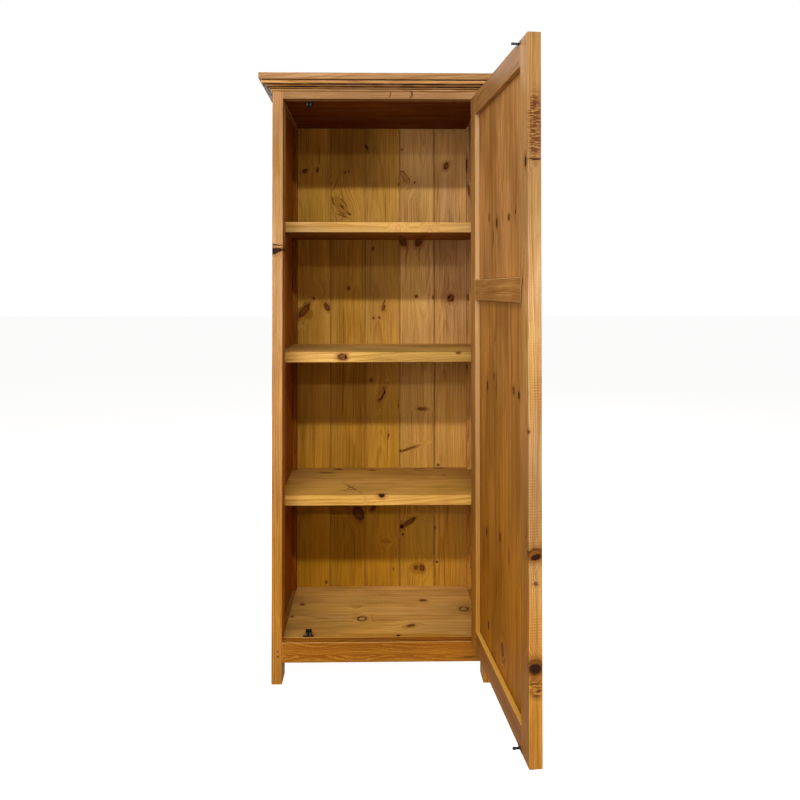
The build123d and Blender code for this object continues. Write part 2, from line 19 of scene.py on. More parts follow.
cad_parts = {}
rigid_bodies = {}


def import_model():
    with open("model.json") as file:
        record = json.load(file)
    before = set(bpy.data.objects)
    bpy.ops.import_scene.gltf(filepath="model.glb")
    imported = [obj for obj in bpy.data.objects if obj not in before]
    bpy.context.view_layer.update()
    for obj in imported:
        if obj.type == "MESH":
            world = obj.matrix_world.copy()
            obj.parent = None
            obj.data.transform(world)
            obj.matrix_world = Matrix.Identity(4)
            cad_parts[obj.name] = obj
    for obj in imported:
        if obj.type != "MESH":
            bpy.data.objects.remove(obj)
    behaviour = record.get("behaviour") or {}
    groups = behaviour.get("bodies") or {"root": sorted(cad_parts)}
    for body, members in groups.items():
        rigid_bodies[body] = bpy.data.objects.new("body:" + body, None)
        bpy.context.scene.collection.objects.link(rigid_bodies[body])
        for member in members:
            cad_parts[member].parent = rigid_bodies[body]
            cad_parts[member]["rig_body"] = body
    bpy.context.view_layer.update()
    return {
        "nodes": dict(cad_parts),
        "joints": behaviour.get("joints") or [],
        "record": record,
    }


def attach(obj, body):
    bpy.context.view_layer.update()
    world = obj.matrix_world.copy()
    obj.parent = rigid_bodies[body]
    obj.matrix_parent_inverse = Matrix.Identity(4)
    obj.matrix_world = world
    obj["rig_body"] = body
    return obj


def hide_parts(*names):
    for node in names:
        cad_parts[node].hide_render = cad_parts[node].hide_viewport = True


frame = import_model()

LOG = logging.getLogger("cabinet")
MM = 0.001
THROUGH = 9000.0                # mm: deeper than any board, so that a mark shows on both faces
RIPPLE_PITCH = 0.0062           # metres between two waves of the planer's ripple
AMBER_HEIGHTS = (1.35, 0.15)    # metres above the floor where the painted warm tint starts and where it is full
UPPER_EDGE_TINT = (1.65, 1.15)     # metres above the floor between which the top's painted shade turns to the middle's tint
LOWER_EDGE_TINT = (0.70, 0.20)     # and the middle's tint to the foot's
GRAIN_SWAY = (0.010, 0.010, 0.0)    # metres that the fibres wander across and through a board
RAGGED_RIM = 0.0070             # metres by which the rims of marks are uneven
RING_DRIFT = 0.034              # metres that the growth rings wander over a board
RING_RIPPLE = 0.0024            # metres that they tremble
RUN_REACH = 3.2                 # how far from a mark the rings bend, in its own half sizes
PART_REACH = (0.7, 4.0)         # between which distances the fibres part less and less
PARTING = 0.8                   # how far a knot draws in the coordinates across the grain
YEARS = (0.37, 1.8)             # how fast good and poor years take turns, and how much they differ
GROOVE = (0.0006, 0.0015)       # metres from a groove's middle where its darkening is full and where it ends
END_REACH = 0.0050              # metres in from a board's ends that the darkening reaches
FACING = (0.5, 0.8)             # cosines between which a face comes to look in a direction
LIT_FACING = (0.6, 0.9)      # the same for faces that get painted light
AWAY_LIGHT = 0.35              # how much painted light an upright face gets, against 1 for a lying one
WELD = 0.00001                  # metres within which two points of a solid are one
FLUSH = 0.00002                 # metres within which points lie on one end of a screw
WHOLE_ANGLE = 0.5               # degrees below which two faces are one
CURVED_ANGLES = (1.0, 30.0)     # degrees between which two facets belong to one round face
SHARP_ANGLE = 40.0              # degrees from which an edge gets eased
CATCH_DIVIDE = 0.9              # metres above the floor, between the lower and the upper catch
WHITE = (1.0, 1.0, 1.0)

Colour = tuple[float, float, float]
Place = tuple[float, float, float]
Socket = bpy.types.NodeSocket


# ---------------------------------------------------------------- timber
class Lie(Enum):
    """How a board lies: which way its grain and its width run."""

    UPRIGHT = "upright, face to the front"
    SIDEWAYS = "upright, face to the side"
    FLAT = "flat, grain across the cabinet"
    RAIL = "on edge, grain across the cabinet"
    DEEP_RAIL = "on edge, grain from front to back"
    DOOR_UPRIGHT = "upright in the door"
    DOOR_RAIL = "across the door"


class MarkKind(Enum):
    """What a mark in the wood looks like."""

    SOUND = "brown knot with a dark rim"
    BARK = "black bark pocket or open crack"
    RINGED = "pale knot inside a thin dark ring"
    LEAF = "thin brown outline round a branch that has grown over"
    FLAME = "only the growth rings bend"
    RESIN = "orange resin soaked into the wood"
    CHECKED = "rows of short torn checks across the grain"
    RIPPLED = "regular ripple left by a planer"

    @property
    def parts_grain(self) -> bool:
        """Whether the fibres run round it."""
        return self in (SOUND, BARK, RINGED, LEAF)


SOUND, BARK, RINGED, LEAF, FLAME, RESIN, CHECKED, RIPPLED = MarkKind


class Grain(Enum):
    """Patterns in the wood: how many features lie in a metre across, through and along the grain."""

    DRIFT = (4.0, 4.0, 1.3)
    SWAY = (5.0, 5.0, 3.2)
    PATCHES = (7.0, 7.0, 3.0)
    ZONES = (11.0, 11.0, 2.1)
    CLOUDS = (13.0, 13.0, 4.5)
    WAVES = (20.0, 20.0, 9.0)
    RIPPLE = (60.0, 60.0, 9.0)
    DIRT = (60.0, 60.0, 25.0)
    GAPS = (70.0, 70.0, 50.0)
    BANDS = (75.0, 75.0, 2.4)
    STREAKS = (130.0, 130.0, 2.2)
    RAGGED = (150.0, 150.0, 110.0)
    TEARS = (48.0, 48.0, 260.0)
    LINES = (290.0, 290.0, 2.1)
    FIBRES = (620.0, 620.0, 9.0)
    PORES = (1900.0, 1900.0, 75.0)


@dataclass(frozen=True)
class Mark:
    """One knot, crack or patch of tool marks: an ellipsoid in the board's own directions.

    Attributes:
        place: Its middle across, through and along the board, in mm.
        half: Its half sizes in the same directions, in mm.
        turn: Its turn round each direction, in degrees.
        kind: What it looks like.
        rings: How many growth rings it pushes aside.
    """

    place: Place
    half: Place
    turn: Place = (0.0, 0.0, 0.0)
    kind: MarkKind = SOUND
    rings: float = 1.6


def face_mark(across: float, along: float, width: float, length: float, turn: float = 0.0,
              kind: MarkKind = SOUND, rings: float = 1.6) -> Mark:
    """A mark that goes right through the board and shows on its faces.

    Args:
        across: Place across the grain, in mm.
        along: Place along the grain, in mm.
        width: Full size across the grain, in mm.
        length: Full size along the grain, in mm.
        turn: Lean of its long side, in degrees.
        kind: What it looks like.
        rings: How many growth rings it pushes aside.

    Returns:
        The mark.
    """
    return Mark((across, 0.0, along), (width / 2, THROUGH, length / 2), (0.0, turn, 0.0), kind, rings)


def face_marks(*rows: tuple) -> tuple[Mark, ...]:
    """Several face marks, each given as a row of its values."""
    return tuple(face_mark(*row) for row in rows)


def edge_mark(place: Place, half: Place, turn: float = 0.0, kind: MarkKind = SOUND,
              rings: float = 1.0) -> Mark:
    """A mark of limited depth, turned in the plane of the board's narrow edge."""
    return Mark(place, half, (turn, 0.0, 0.0), kind, rings)


@dataclass(frozen=True)
class PineFinish:
    """Stained and waxed pine: the colours of its rings and how strongly each feature shows.

    Attributes:
        early: Pale spring wood.
        late: Dark line at the end of a year.
        stain: Stain gathered in clouds, streaks and pores.
        knot: Knots, and the darkening of dirt and painted shade in joints and grooves.
        bark: Bark pockets and cracks.
        resin: Wood soaked with resin.
        pale_wood: Pale wood in lines, bands and knot cores; on the eased edges it is wear and painted
            highlight.
        lit_colour: Painted light: the lighter colour of faces that look up or away from the hinges, where the
            light falls on them.
        amber: Painted light: a warmer, darker tint towards the foot, where the light is warmer.
        edge_shade_tints: Tints of the faces that look away from the hinges: at the top, middle and foot; the
            darker top is painted shade where less light falls.
        underside: Painted shade: a darker tint on the faces that look down.
        ring_width: Width of a year's growth, in metres.
        ring_contrast: How strongly the rings show.
        fibre_contrast: How strongly the fibres show.
        streaks: How strongly thin stained lines show.
        blotch: How strongly clouds of stain show.
        wear: How far the eased edges turn pale, as wear and painted highlight.
        patches: How much the wood varies from place to place.
        bands: How strongly broad stained bands show.
        painted_light: How strongly that painted light shows.
        roughness: Roughness of the wax.
        specular: Strength of its gloss.
    """

    early: Colour = (0.570, 0.335, 0.135)
    late: Colour = (0.330, 0.130, 0.026)
    stain: Colour = (0.225, 0.078, 0.010)
    knot: Colour = (0.095, 0.024, 0.004)
    bark: Colour = (0.024, 0.005, 0.001)
    resin: Colour = (0.420, 0.180, 0.014)
    pale_wood: Colour = (0.700, 0.430, 0.170)
    lit_colour: Colour = (0.950, 0.660, 0.330)
    amber: Colour = (0.95, 0.74, 0.26)
    edge_shade_tints: tuple[Colour, Colour, Colour] | None = None
    underside: Colour | None = None
    ring_width: float = 0.0042
    ring_contrast: float = 0.75
    fibre_contrast: float = 0.45
    streaks: float = 0.50
    blotch: float = 0.35
    wear: float = 0.45
    patches: float = 0.10
    bands: float = 0.25
    painted_light: float = 0.0
    roughness: float = 0.56
    specular: float = 0.10


@dataclass(frozen=True)
class Board:
    """One wooden solid and the timber it is cut from.

    Attributes:
        node: Name of the solid.
        lie: How the board lies.
        finish: The stain and wax.
        pith: Centre of the growth rings, across and through the board from its middle, in mm.
        lean: How far the pith drifts across and through per metre of length.
        tint: Colour of this board against the finish's own colours.
        dirt_and_shade: How much the sides and the ends darken, with dirt and with painted shade in the
            joints.
        lap: How much of the sides and of the ends is hidden in joints, in mm.
        reach: How far in from the sides that darkening reaches, in mm.
        grooves: Places across the grain where a groove is darkened with dirt and painted shade, in mm.
        marks: Its knots, cracks and tool marks.
    """

    node: str
    lie: Lie
    finish: PineFinish = PineFinish()
    pith: tuple[float, float] = (6.0, -55.0)
    lean: tuple[float, float] = (0.012, 0.02)
    tint: Colour = WHITE
    dirt_and_shade: tuple[float, float] = (0.0, 0.0)
    lap: tuple[float, float] = (0.0, 0.0)
    reach: float = 3.5
    grooves: tuple[float, ...] = ()
    marks: tuple[Mark, ...] = ()


@dataclass(frozen=True)
class SteelFinish:
    """Blackened or plated steel with worn spots.

    Attributes:
        base: Whole surface.
        worn: Worn spots and scratches.
        rust: Specks of rust.
        wear: How strongly the worn spots show.
        rust_amount: How strongly the rust shows.
        metallic: How far it shines like bare metal.
        roughness: Roughness of the surface.
    """

    base: Colour = (0.016, 0.014, 0.013)
    worn: Colour = (0.160, 0.140, 0.120)
    rust: Colour = (0.055, 0.024, 0.010)
    wear: float = 0.30
    rust_amount: float = 0.25
    metallic: float = 0.85
    roughness: float = 0.45


@dataclass(frozen=True)
class NylonFinish:
    """Moulded nylon, slightly mottled.

    Attributes:
        base: Whole surface.
        scuff: Scuffed spots.
        roughness: Roughness of the surface.
    """

    base: Colour = (0.030, 0.026, 0.023)
    scuff: Colour = (0.200, 0.180, 0.160)
    roughness: float = 0.40


# ---------------------------------------------------------------- node trees
class NodeTree:
    """The node tree of a material or of the world, written as calls that return sockets."""

    def __init__(self, owner: bpy.types.Material | bpy.types.World) -> None:
        """Start an empty tree.

        Args:
            owner: The material or world that the tree belongs to.
        """
        owner.use_nodes = True
        self.owner = owner
        self.tree = owner.node_tree
        self.tree.nodes.clear()

    def add(self, kind: str, inputs: dict | None = None, **settings) -> bpy.types.Node:
        """Add a node.

        Args:
            kind: Blender's type name after ShaderNode.
            inputs: Values or sockets by input name or index.
            **settings: Properties of the node.

        Returns:
            The node.
        """
        node = self.tree.nodes.new("ShaderNode" + kind)
        for key, value in settings.items():
            setattr(node, key, value)
        for key, value in (inputs or {}).items():
            self.put(node.inputs[key], value)
        return node

    def put(self, socket: Socket, value: object) -> None:
        """Set an input to a value, or link a socket to it.

        Args:
            socket: The input.
            value: A value, or an output socket.
        """
        if isinstance(value, bpy.types.NodeSocket):
            self.tree.links.new(value, socket)
        elif isinstance(value, tuple) and len(value) == 3 and socket.type == "RGBA":
            socket.default_value = (*value, 1.0)
        else:
            socket.default_value = value

    def math(self, operation: str, *values: object, clamp: bool = False) -> Socket:
        """Arithmetic on one to three values."""
        node = self.add("Math", dict(enumerate(values)), operation=operation, use_clamp=clamp)
        return node.outputs[0]

    def vector(self, operation: str, *values: object) -> Socket:
        """Vector arithmetic; a length or dot product comes out as a number."""
        node = self.add("VectorMath", dict(enumerate(values)), operation=operation)
        return node.outputs["Value" if operation in ("LENGTH", "DOT_PRODUCT") else "Vector"]

    def noise(self, place: Socket, stretch: Place, detail: float = 2.0,
              roughness: float = 0.5) -> bpy.types.Node:
        """Noise whose features are 1/stretch metres long in each direction."""
        inputs = {"Vector": self.vector("MULTIPLY", place, stretch), "Scale": 1.0}
        return self.add("TexNoise", inputs | {"Detail": detail, "Roughness": roughness})

    def band(self, value: object, low: float, high: float, at_low: float = 0.0,
             at_high: float = 1.0) -> Socket:
        """Map a value smoothly from one range to another and hold it outside the range."""
        inputs = {"Value": value, "From Min": low, "From Max": high, "To Min": at_low, "To Max": at_high}
        return self.add("MapRange", inputs, interpolation_type="SMOOTHSTEP").outputs["Result"]

    def fade(self, value: object, low: float, high: float, amount: float = 1.0) -> Socket:
        """An amount that holds up to one value and falls smoothly to nothing at another."""
        return self.band(value, low, high, amount, 0.0)

    def ramp(self, factor: object, stops: list[tuple[float, Colour]]) -> Socket:
        """A colour ramp through the given stops.

        Args:
            factor: Place on the ramp.
            stops: Places from 0 to 1 and their colours.

        Returns:
            The colour.
        """
        node = self.add("ValToRGB", {"Fac": factor})
        elements = node.color_ramp.elements
        while len(elements) < len(stops):
            elements.new(0.5)
        for element, (position, colour) in zip(elements, stops):
            element.position = position
            element.color = (*colour, 1.0)
        return node.outputs["Color"]

    def mix(self, factor: object, first: object, second: object, blend: str = "MIX") -> Socket:
        """Mix two colours.

        Args:
            factor: 0 for the first, 1 for the second.
            first: First colour.
            second: Second colour.
            blend: How the second is laid over the first.

        Returns:
            The colour.
        """
        node = self.add("Mix", data_type="RGBA", blend_type=blend)
        self.put(node.inputs["Factor"], factor)
        self.put(node.inputs["A"], first)
        self.put(node.inputs["B"], second)
        return node.outputs["Result"]

    def finish(self, colour: Socket, rough: Socket, relief: Socket, bump: tuple[float, float],
               more: dict[str, float]) -> bpy.types.Material:
        """Close a material with its surface.

        Args:
            colour: Its colour.
            rough: Its roughness.
            relief: Its fine relief.
            bump: Strength of the relief, and its height in metres.
            more: Other inputs of the surface's shader.

        Returns:
            The material.
        """
        strength, height = bump
        rise = self.add("Bump", {"Strength": strength, "Distance": height, "Height": relief})
        inputs = {"Base Color": colour, "Roughness": rough, "Normal": rise.outputs["Normal"]}
        return self.close(self.add("BsdfPrincipled", inputs | more))

    def close(self, shader: bpy.types.Node) -> bpy.types.Material | bpy.types.World:
        """Send a shader to the output and hand over what the tree belongs to.

        Args:
            shader: The last shader.

        Returns:
            The material or world.
        """
        is_world = isinstance(self.owner, bpy.types.World)
        output = self.add("OutputWorld" if is_world else "OutputMaterial")
        self.tree.links.new(shader.outputs[0], output.inputs["Surface"])
        return self.owner


@dataclass(frozen=True)
class CabinetAxes:
    """The directions that boards lie in, and the door's pin, from the joint that swings the door.

    Attributes:
        pin: Where the door's pin stands.
        along_door: The way from the pin to the door's free edge.
        out_of_door: The way the door's outer face looks.
    """

    pin: Vector
    along_door: Vector
    out_of_door: Vector

    @classmethod
    def from_frame(cls) -> "CabinetAxes":
        """Read the door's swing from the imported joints.

        Returns:
            The directions.
        """
        swing = next(joint for joint in frame["joints"] if joint["name"] == "door_swing")
        open_turn = math.radians(-swing["range_deg"][0])
        along = Vector((-math.cos(open_turn), -math.sin(open_turn), 0.0))
        out = Vector((math.sin(open_turn), -math.cos(open_turn), 0.0))
        pin = Vector((swing["pos_m"][0], swing["pos_m"][1], 0.0))
        return cls(pin, along, out)

    def directions(self, lie: Lie) -> tuple[Vector, Vector]:
        """Where a board's width and its grain run.

        Args:
            lie: How the board lies.

        Returns:
            The direction across the board and the direction along its grain.
        """
        x, y, z = Vector((1, 0, 0)), Vector((0, 1, 0)), Vector((0, 0, 1))
        return {
            Lie.UPRIGHT: (x, z),
            Lie.SIDEWAYS: (y, z),
            Lie.FLAT: (y, x),
            Lie.RAIL: (z, x),
            Lie.DEEP_RAIL: (z, y),
            Lie.DOOR_UPRIGHT: (self.along_door, z),
            Lie.DOOR_RAIL: (z, self.along_door),
        }[lie]

    def turn(self, lie: Lie) -> Matrix:
        """Matrix whose columns are the directions across, through and along a board."""
        across, along = self.directions(lie)
        return Matrix((across, along.cross(across), along)).transposed()

    def origin(self, lie: Lie) -> Vector:
        """Where a board's coordinates start: at the pin in the door, else at the cabinet's own origin."""
        return self.pin if lie in (Lie.DOOR_UPRIGHT, Lie.DOOR_RAIL) else Vector((0.0, 0.0, 0.0))


class PineMaterial:
    """Solid pine for one board."""

    def __init__(self, board: Board, axes: CabinetAxes) -> None:
        """Prepare the board's coordinates.

        Args:
            board: The board and its timber.
            axes: The cabinet's directions.
        """
        self.board = board
        self.nodes = NodeTree(bpy.data.materials.new("pine_" + board.node))
        turn, origin = axes.turn(board.lie), axes.origin(board.lie)
        back = turn.inverted()
        corners = [back @ (vertex.co - origin) for vertex in frame["nodes"][board.node].data.vertices]
        self.low = Vector(map(min, *corners))
        self.high = Vector(map(max, *corners))
        self.middle = (self.low + self.high) / 2
        self.coordinates = self.nodes.add("TexCoord")
        self.object_place = self.coordinates.outputs["Object"]
        mapping = self.nodes.add("Mapping", {"Vector": self.object_place}, vector_type="TEXTURE")
        mapping.inputs["Location"].default_value = origin
        mapping.inputs["Rotation"].default_value = turn.to_euler()
        self.place = mapping.outputs["Vector"]
        seed = random.Random(board.node)
        self.offset = tuple(seed.uniform(-9.0, 9.0) for _ in range(3))
        self.away = axes.along_door
        self.nearest: dict[MarkKind, Socket] = {}
        self.push: object = 0.0
        self.grain = self.nodes.vector("ADD", self.survey_marks(), self.offset)

    def pattern(self, grain: Grain, detail: float = 2.0, roughness: float = 0.5) -> bpy.types.NodeOutputs:
        """Noise that runs with the fibres."""
        return self.nodes.noise(self.grain, grain.value, detail, roughness).outputs

    def survey_marks(self) -> Socket:
        """Measure the distance from the marks, one mark after the other to keep the shader small.

        A distance is 0 at a mark's middle and 1 at its rim, which is a little ragged. The smallest
        distance is kept for each kind of mark, and how far all the marks push the growth rings.

        Returns:
            The board's coordinates, drawn in towards each knot so that the fibres part round it.
        """
        nodes = self.nodes
        seeded = nodes.vector("ADD", self.place, self.offset)
        sway = nodes.noise(seeded, Grain.SWAY.value, detail=1.0)
        bent = nodes.vector("MULTIPLY_ADD", sway.outputs["Color"], GRAIN_SWAY, self.place)
        if not self.board.marks:
            return bent
        shake = nodes.noise(seeded, Grain.RAGGED.value, detail=2.0)
        spread, back = (RAGGED_RIM,) * 3, (-RAGGED_RIM / 2,) * 3
        shaken = nodes.vector("MULTIPLY_ADD", shake.outputs["Color"], spread, back)
        shaken = nodes.vector("ADD", self.place, shaken)
        for mark in self.board.marks:
            local = nodes.add("Mapping", {"Vector": shaken}, vector_type="TEXTURE")
            local.inputs["Location"].default_value = [value * MM for value in mark.place]
            local.inputs["Rotation"].default_value = [math.radians(value) for value in mark.turn]
            local.inputs["Scale"].default_value = [value * MM for value in mark.half]
            distance = nodes.vector("LENGTH", local.outputs["Vector"])
            self.push = nodes.math("ADD", self.push, nodes.fade(distance, 0.0, RUN_REACH, mark.rings))
            if mark.kind.parts_grain:
                middle = tuple(value * MM for value in mark.place)
                outwards = nodes.vector("SUBTRACT", self.place, middle)
                inwards = nodes.vector("MULTIPLY", outwards, (-1.0, 0.0, 0.0))
                bent = nodes.vector("MULTIPLY_ADD", inwards, nodes.fade(distance, *PART_REACH, PARTING), bent)
            known = self.nearest.get(mark.kind)
            nearer = distance if known is None else nodes.math("MINIMUM", known, distance)
            self.nearest[mark.kind] = nearer
        return bent

    def rings(self) -> Socket:
        """How late in its year the wood at a point grew: 0 for pale spring wood, 1 for the dark line.

        Returns:
            The value.
        """
        nodes, board = self.nodes, self.board
        x, y, z = nodes.add("SeparateXYZ", {"Vector": self.grain}).outputs
        middle = self.middle + Vector(self.offset)
        ripple = self.pattern(Grain.RIPPLE, 3.0)["Fac"]
        slow = self.pattern(Grain.DRIFT, 1.0)["Fac"]
        along = nodes.math("SUBTRACT", z, middle.z)
        pith_across = -(middle.x + board.pith[0] * MM)
        pith_through = -(middle.y + board.pith[1] * MM)
        across = nodes.math("ADD", x, nodes.math("MULTIPLY_ADD", along, board.lean[0], pith_across))
        through = nodes.math("ADD", y, nodes.math("MULTIPLY_ADD", along, board.lean[1], pith_through))
        squares = nodes.math("MULTIPLY_ADD", across, across, nodes.math("MULTIPLY", through, through))
        radius = nodes.math("MULTIPLY_ADD", slow, RING_DRIFT, nodes.math("SQRT", squares))
        radius = nodes.math("MULTIPLY_ADD", ripple, RING_RIPPLE, radius)
        count = nodes.math("DIVIDE", radius, board.finish.ring_width)
        count = nodes.math("ADD", count, self.push)
        # good and poor years lie at uneven distances
        pace, unevenness = YEARS
        years = nodes.add("TexNoise", {"W": nodes.math("MULTIPLY", count, pace), "Scale": 1.0, "Detail": 1.0},
                          noise_dimensions="1D")
        count = nodes.math("MULTIPLY_ADD", years.outputs["Fac"], unevenness, count)
        dark = nodes.ramp(nodes.math("FRACT", count), [
            (0.00, (0.30,) * 3), (0.08, (0.02,) * 3), (0.45, (0.10,) * 3),
            (0.76, (0.62,) * 3), (0.90, (1.0,) * 3), (1.0, (0.30,) * 3)])
        return nodes.add("RGBToBW", {"Color": dark}).outputs["Val"]

    def paint_marks(self, colour: Socket, height: Socket) -> tuple[Socket, Socket]:
        """Paint the board's marks over its wood.

        Args:
            colour: The wood's colour.
            height: The wood's relief.

        Returns:
            The new colour and relief.
        """
        for kind, paint in ((RESIN, self.paint_resin), (RIPPLED, self.paint_ripple),
                            (CHECKED, self.paint_checks), (LEAF, self.paint_leaf), (SOUND, self.paint_sound),
                            (RINGED, self.paint_ringed), (BARK, self.paint_bark)):
            if kind in self.nearest:
                colour, height = paint(self.nearest[kind], colour, height)
        return colour, height

    def paint_sound(self, distance: Socket, colour: Socket, height: Socket) -> tuple[Socket, Socket]:
        """Sound knots: fine brown rings, a dark rim and a stained halo.

        Args:
            distance: Distance from the marks, 1 at their rims.
            colour: Colour so far.
            height: Relief so far.

        Returns:
            The new colour and relief.
        """
        nodes, finish = self.nodes, self.board.finish
        rings = nodes.math("SINE", nodes.math("MULTIPLY", distance, 17.0))
        rings = nodes.math("MULTIPLY_ADD", rings, 0.5, 0.5)
        brown = nodes.mix(rings, finish.knot, finish.stain)
        brown = nodes.mix(nodes.band(distance, 0.55, 0.95, 0.0, 0.85), brown, finish.bark)
        colour = nodes.mix(nodes.fade(distance, 0.9, 2.4, 0.62), colour, finish.stain)
        colour = nodes.mix(nodes.fade(distance, 0.88, 1.16, 0.96), colour, brown)
        return colour, nodes.math("ADD", height, nodes.fade(distance, 0.8, 1.05, 0.5))

    def paint_bark(self, distance: Socket, colour: Socket, height: Socket) -> tuple[Socket, Socket]:
        """Bark pockets and cracks: black and sunk, in a stained halo.

        Args:
            distance: Distance from the marks, 1 at their rims.
            colour: Colour so far.
            height: Relief so far.

        Returns:
            The new colour and relief.
        """
        nodes, finish = self.nodes, self.board.finish
        colour = nodes.mix(nodes.fade(distance, 0.9, 2.6, 0.6), colour, finish.stain)
        colour = nodes.mix(nodes.fade(distance, 0.78, 1.12), colour, finish.bark)
        return colour, nodes.math("SUBTRACT", height, nodes.fade(distance, 0.7, 1.0, 1.6))

    def paint_ringed(self, distance: Socket, colour: Socket, height: Socket) -> tuple[Socket, Socket]:
        """Loose pale knots: a thin black ring round pale wood.

        Args:
            distance: Distance from the marks, 1 at their rims.
            colour: Colour so far.
            height: Relief so far.

        Returns:
            The new colour and relief.
        """
        nodes, finish = self.nodes, self.board.finish
        colour = nodes.mix(nodes.fade(distance, 0.45, 0.75, 0.75), colour, finish.pale_wood)
        colour = nodes.mix(nodes.fade(distance, 1.0, 2.2, 0.5), colour, finish.stain)
        line = nodes.band(distance, 0.68, 0.84)
        line = nodes.math("MULTIPLY", line, nodes.fade(distance, 0.94, 1.10))
        return nodes.mix(line, colour, finish.bark), nodes.math("SUBTRACT", height, line)

    def paint_leaf(self, distance: Socket, colour: Socket, height: Socket) -> tuple[Socket, Socket]:
        """Branches that have grown over: a thin brown outline, broken here and there.

        Args:
            distance: Distance from the marks, 1 at their rims.
            colour: Colour so far.
            height: Relief so far.

        Returns:
            The new colour and relief.
        """
        nodes, finish = self.nodes, self.board.finish
        gaps = self.pattern(Grain.GAPS, 1.0)["Fac"]
        line = nodes.band(distance, 0.72, 0.86)
        line = nodes.math("MULTIPLY", line, nodes.fade(distance, 0.92, 1.08))
        line = nodes.math("MULTIPLY", line, nodes.band(gaps, 0.42, 0.55, 0.1, 0.7))
        colour = nodes.mix(nodes.fade(distance, 0.75, 1.0, 0.50), colour, finish.resin)
        return nodes.mix(line, colour, finish.knot), nodes.math("MULTIPLY_ADD", line, -0.5, height)

    def paint_resin(self, distance: Socket, colour: Socket, height: Socket) -> tuple[Socket, Socket]:
        """Resin: an orange soak without relief."""
        soak = self.nodes.fade(distance, 0.93, 1.05, 0.75)
        return self.nodes.mix(soak, colour, self.board.finish.resin), height

    def paint_checks(self, distance: Socket, colour: Socket, height: Socket) -> tuple[Socket, Socket]:
        """Torn checks: short dark grooves that run across the grain.

        Args:
            distance: Distance from the marks, 1 at their rims.
            colour: Colour so far.
            height: Relief so far.

        Returns:
            The new colour and relief.
        """
        nodes, finish = self.nodes, self.board.finish
        area = nodes.fade(distance, 0.45, 1.05)
        rows = self.pattern(Grain.TEARS, 3.0, 0.62)["Fac"]
        torn = nodes.math("MULTIPLY", nodes.band(rows, 0.42, 0.54), area)
        colour = nodes.mix(nodes.math("MULTIPLY", area, 0.18), colour, finish.resin)
        colour = nodes.mix(nodes.math("MULTIPLY", torn, 0.9), colour, finish.knot)
        return colour, nodes.math("MULTIPLY_ADD", torn, -2.0, height)

    def paint_ripple(self, distance: Socket, colour: Socket, height: Socket) -> tuple[Socket, Socket]:
        """Planer's ripple: an even wave along the board.

        Args:
            distance: Distance from the marks, 1 at their rims.
            colour: Colour so far.
            height: Relief so far.

        Returns:
            The new colour and relief.
        """
        nodes, finish = self.nodes, self.board.finish
        z = nodes.add("SeparateXYZ", {"Vector": self.grain}).outputs["Z"]
        wave = nodes.math("SINE", nodes.math("MULTIPLY", z, 2.0 * math.pi / RIPPLE_PITCH))
        wave = nodes.math("MULTIPLY_ADD", wave, 0.5, 0.5)
        wave = nodes.math("MULTIPLY", wave, nodes.fade(distance, 0.6, 1.05))
        depth = self.pattern(Grain.WAVES, 1.0)["Fac"]
        wave = nodes.math("MULTIPLY", wave, nodes.band(depth, 0.42, 0.64, 0.10, 1.0))
        colour = nodes.mix(nodes.math("MULTIPLY", wave, 0.70), colour, finish.late)
        return colour, nodes.math("MULTIPLY_ADD", wave, -1.6, height)

    def dirt_and_shade_mask(self) -> Socket | None:
        """Where the board darkens along its sides, at its ends and in its grooves: dirt, and painted shade in
        the joints.

        Returns:
            How dark a point turns, or None on a board without such darkening.
        """
        nodes, board = self.nodes, self.board
        if not any(board.dirt_and_shade) and not board.grooves:
            return None
        x, _, z = nodes.add("SeparateXYZ", {"Vector": self.place}).outputs
        total = 0.0
        for groove in board.grooves:
            gap = nodes.math("ABSOLUTE", nodes.math("SUBTRACT", x, groove * MM))
            total = nodes.math("ADD", total, nodes.fade(gap, *GROOVE))
        for value, low, high, amount, lap, reach in (
                (x, self.low.x, self.high.x, board.dirt_and_shade[0], board.lap[0], board.reach * MM),
                (z, self.low.z, self.high.z, board.dirt_and_shade[1], board.lap[1], END_REACH)):
            if amount:
                from_middle = nodes.math("ABSOLUTE", nodes.math("SUBTRACT", value, (low + high) / 2))
                rim = (high - low) / 2 - lap * MM
                total = nodes.math("ADD", total, nodes.band(from_middle, rim - reach, rim, 0.0, amount))
        patchy = nodes.band(self.pattern(Grain.DIRT)["Fac"], 0.3, 0.6, 0.6, 1.0)
        return nodes.math("MULTIPLY", total, patchy, clamp=True)

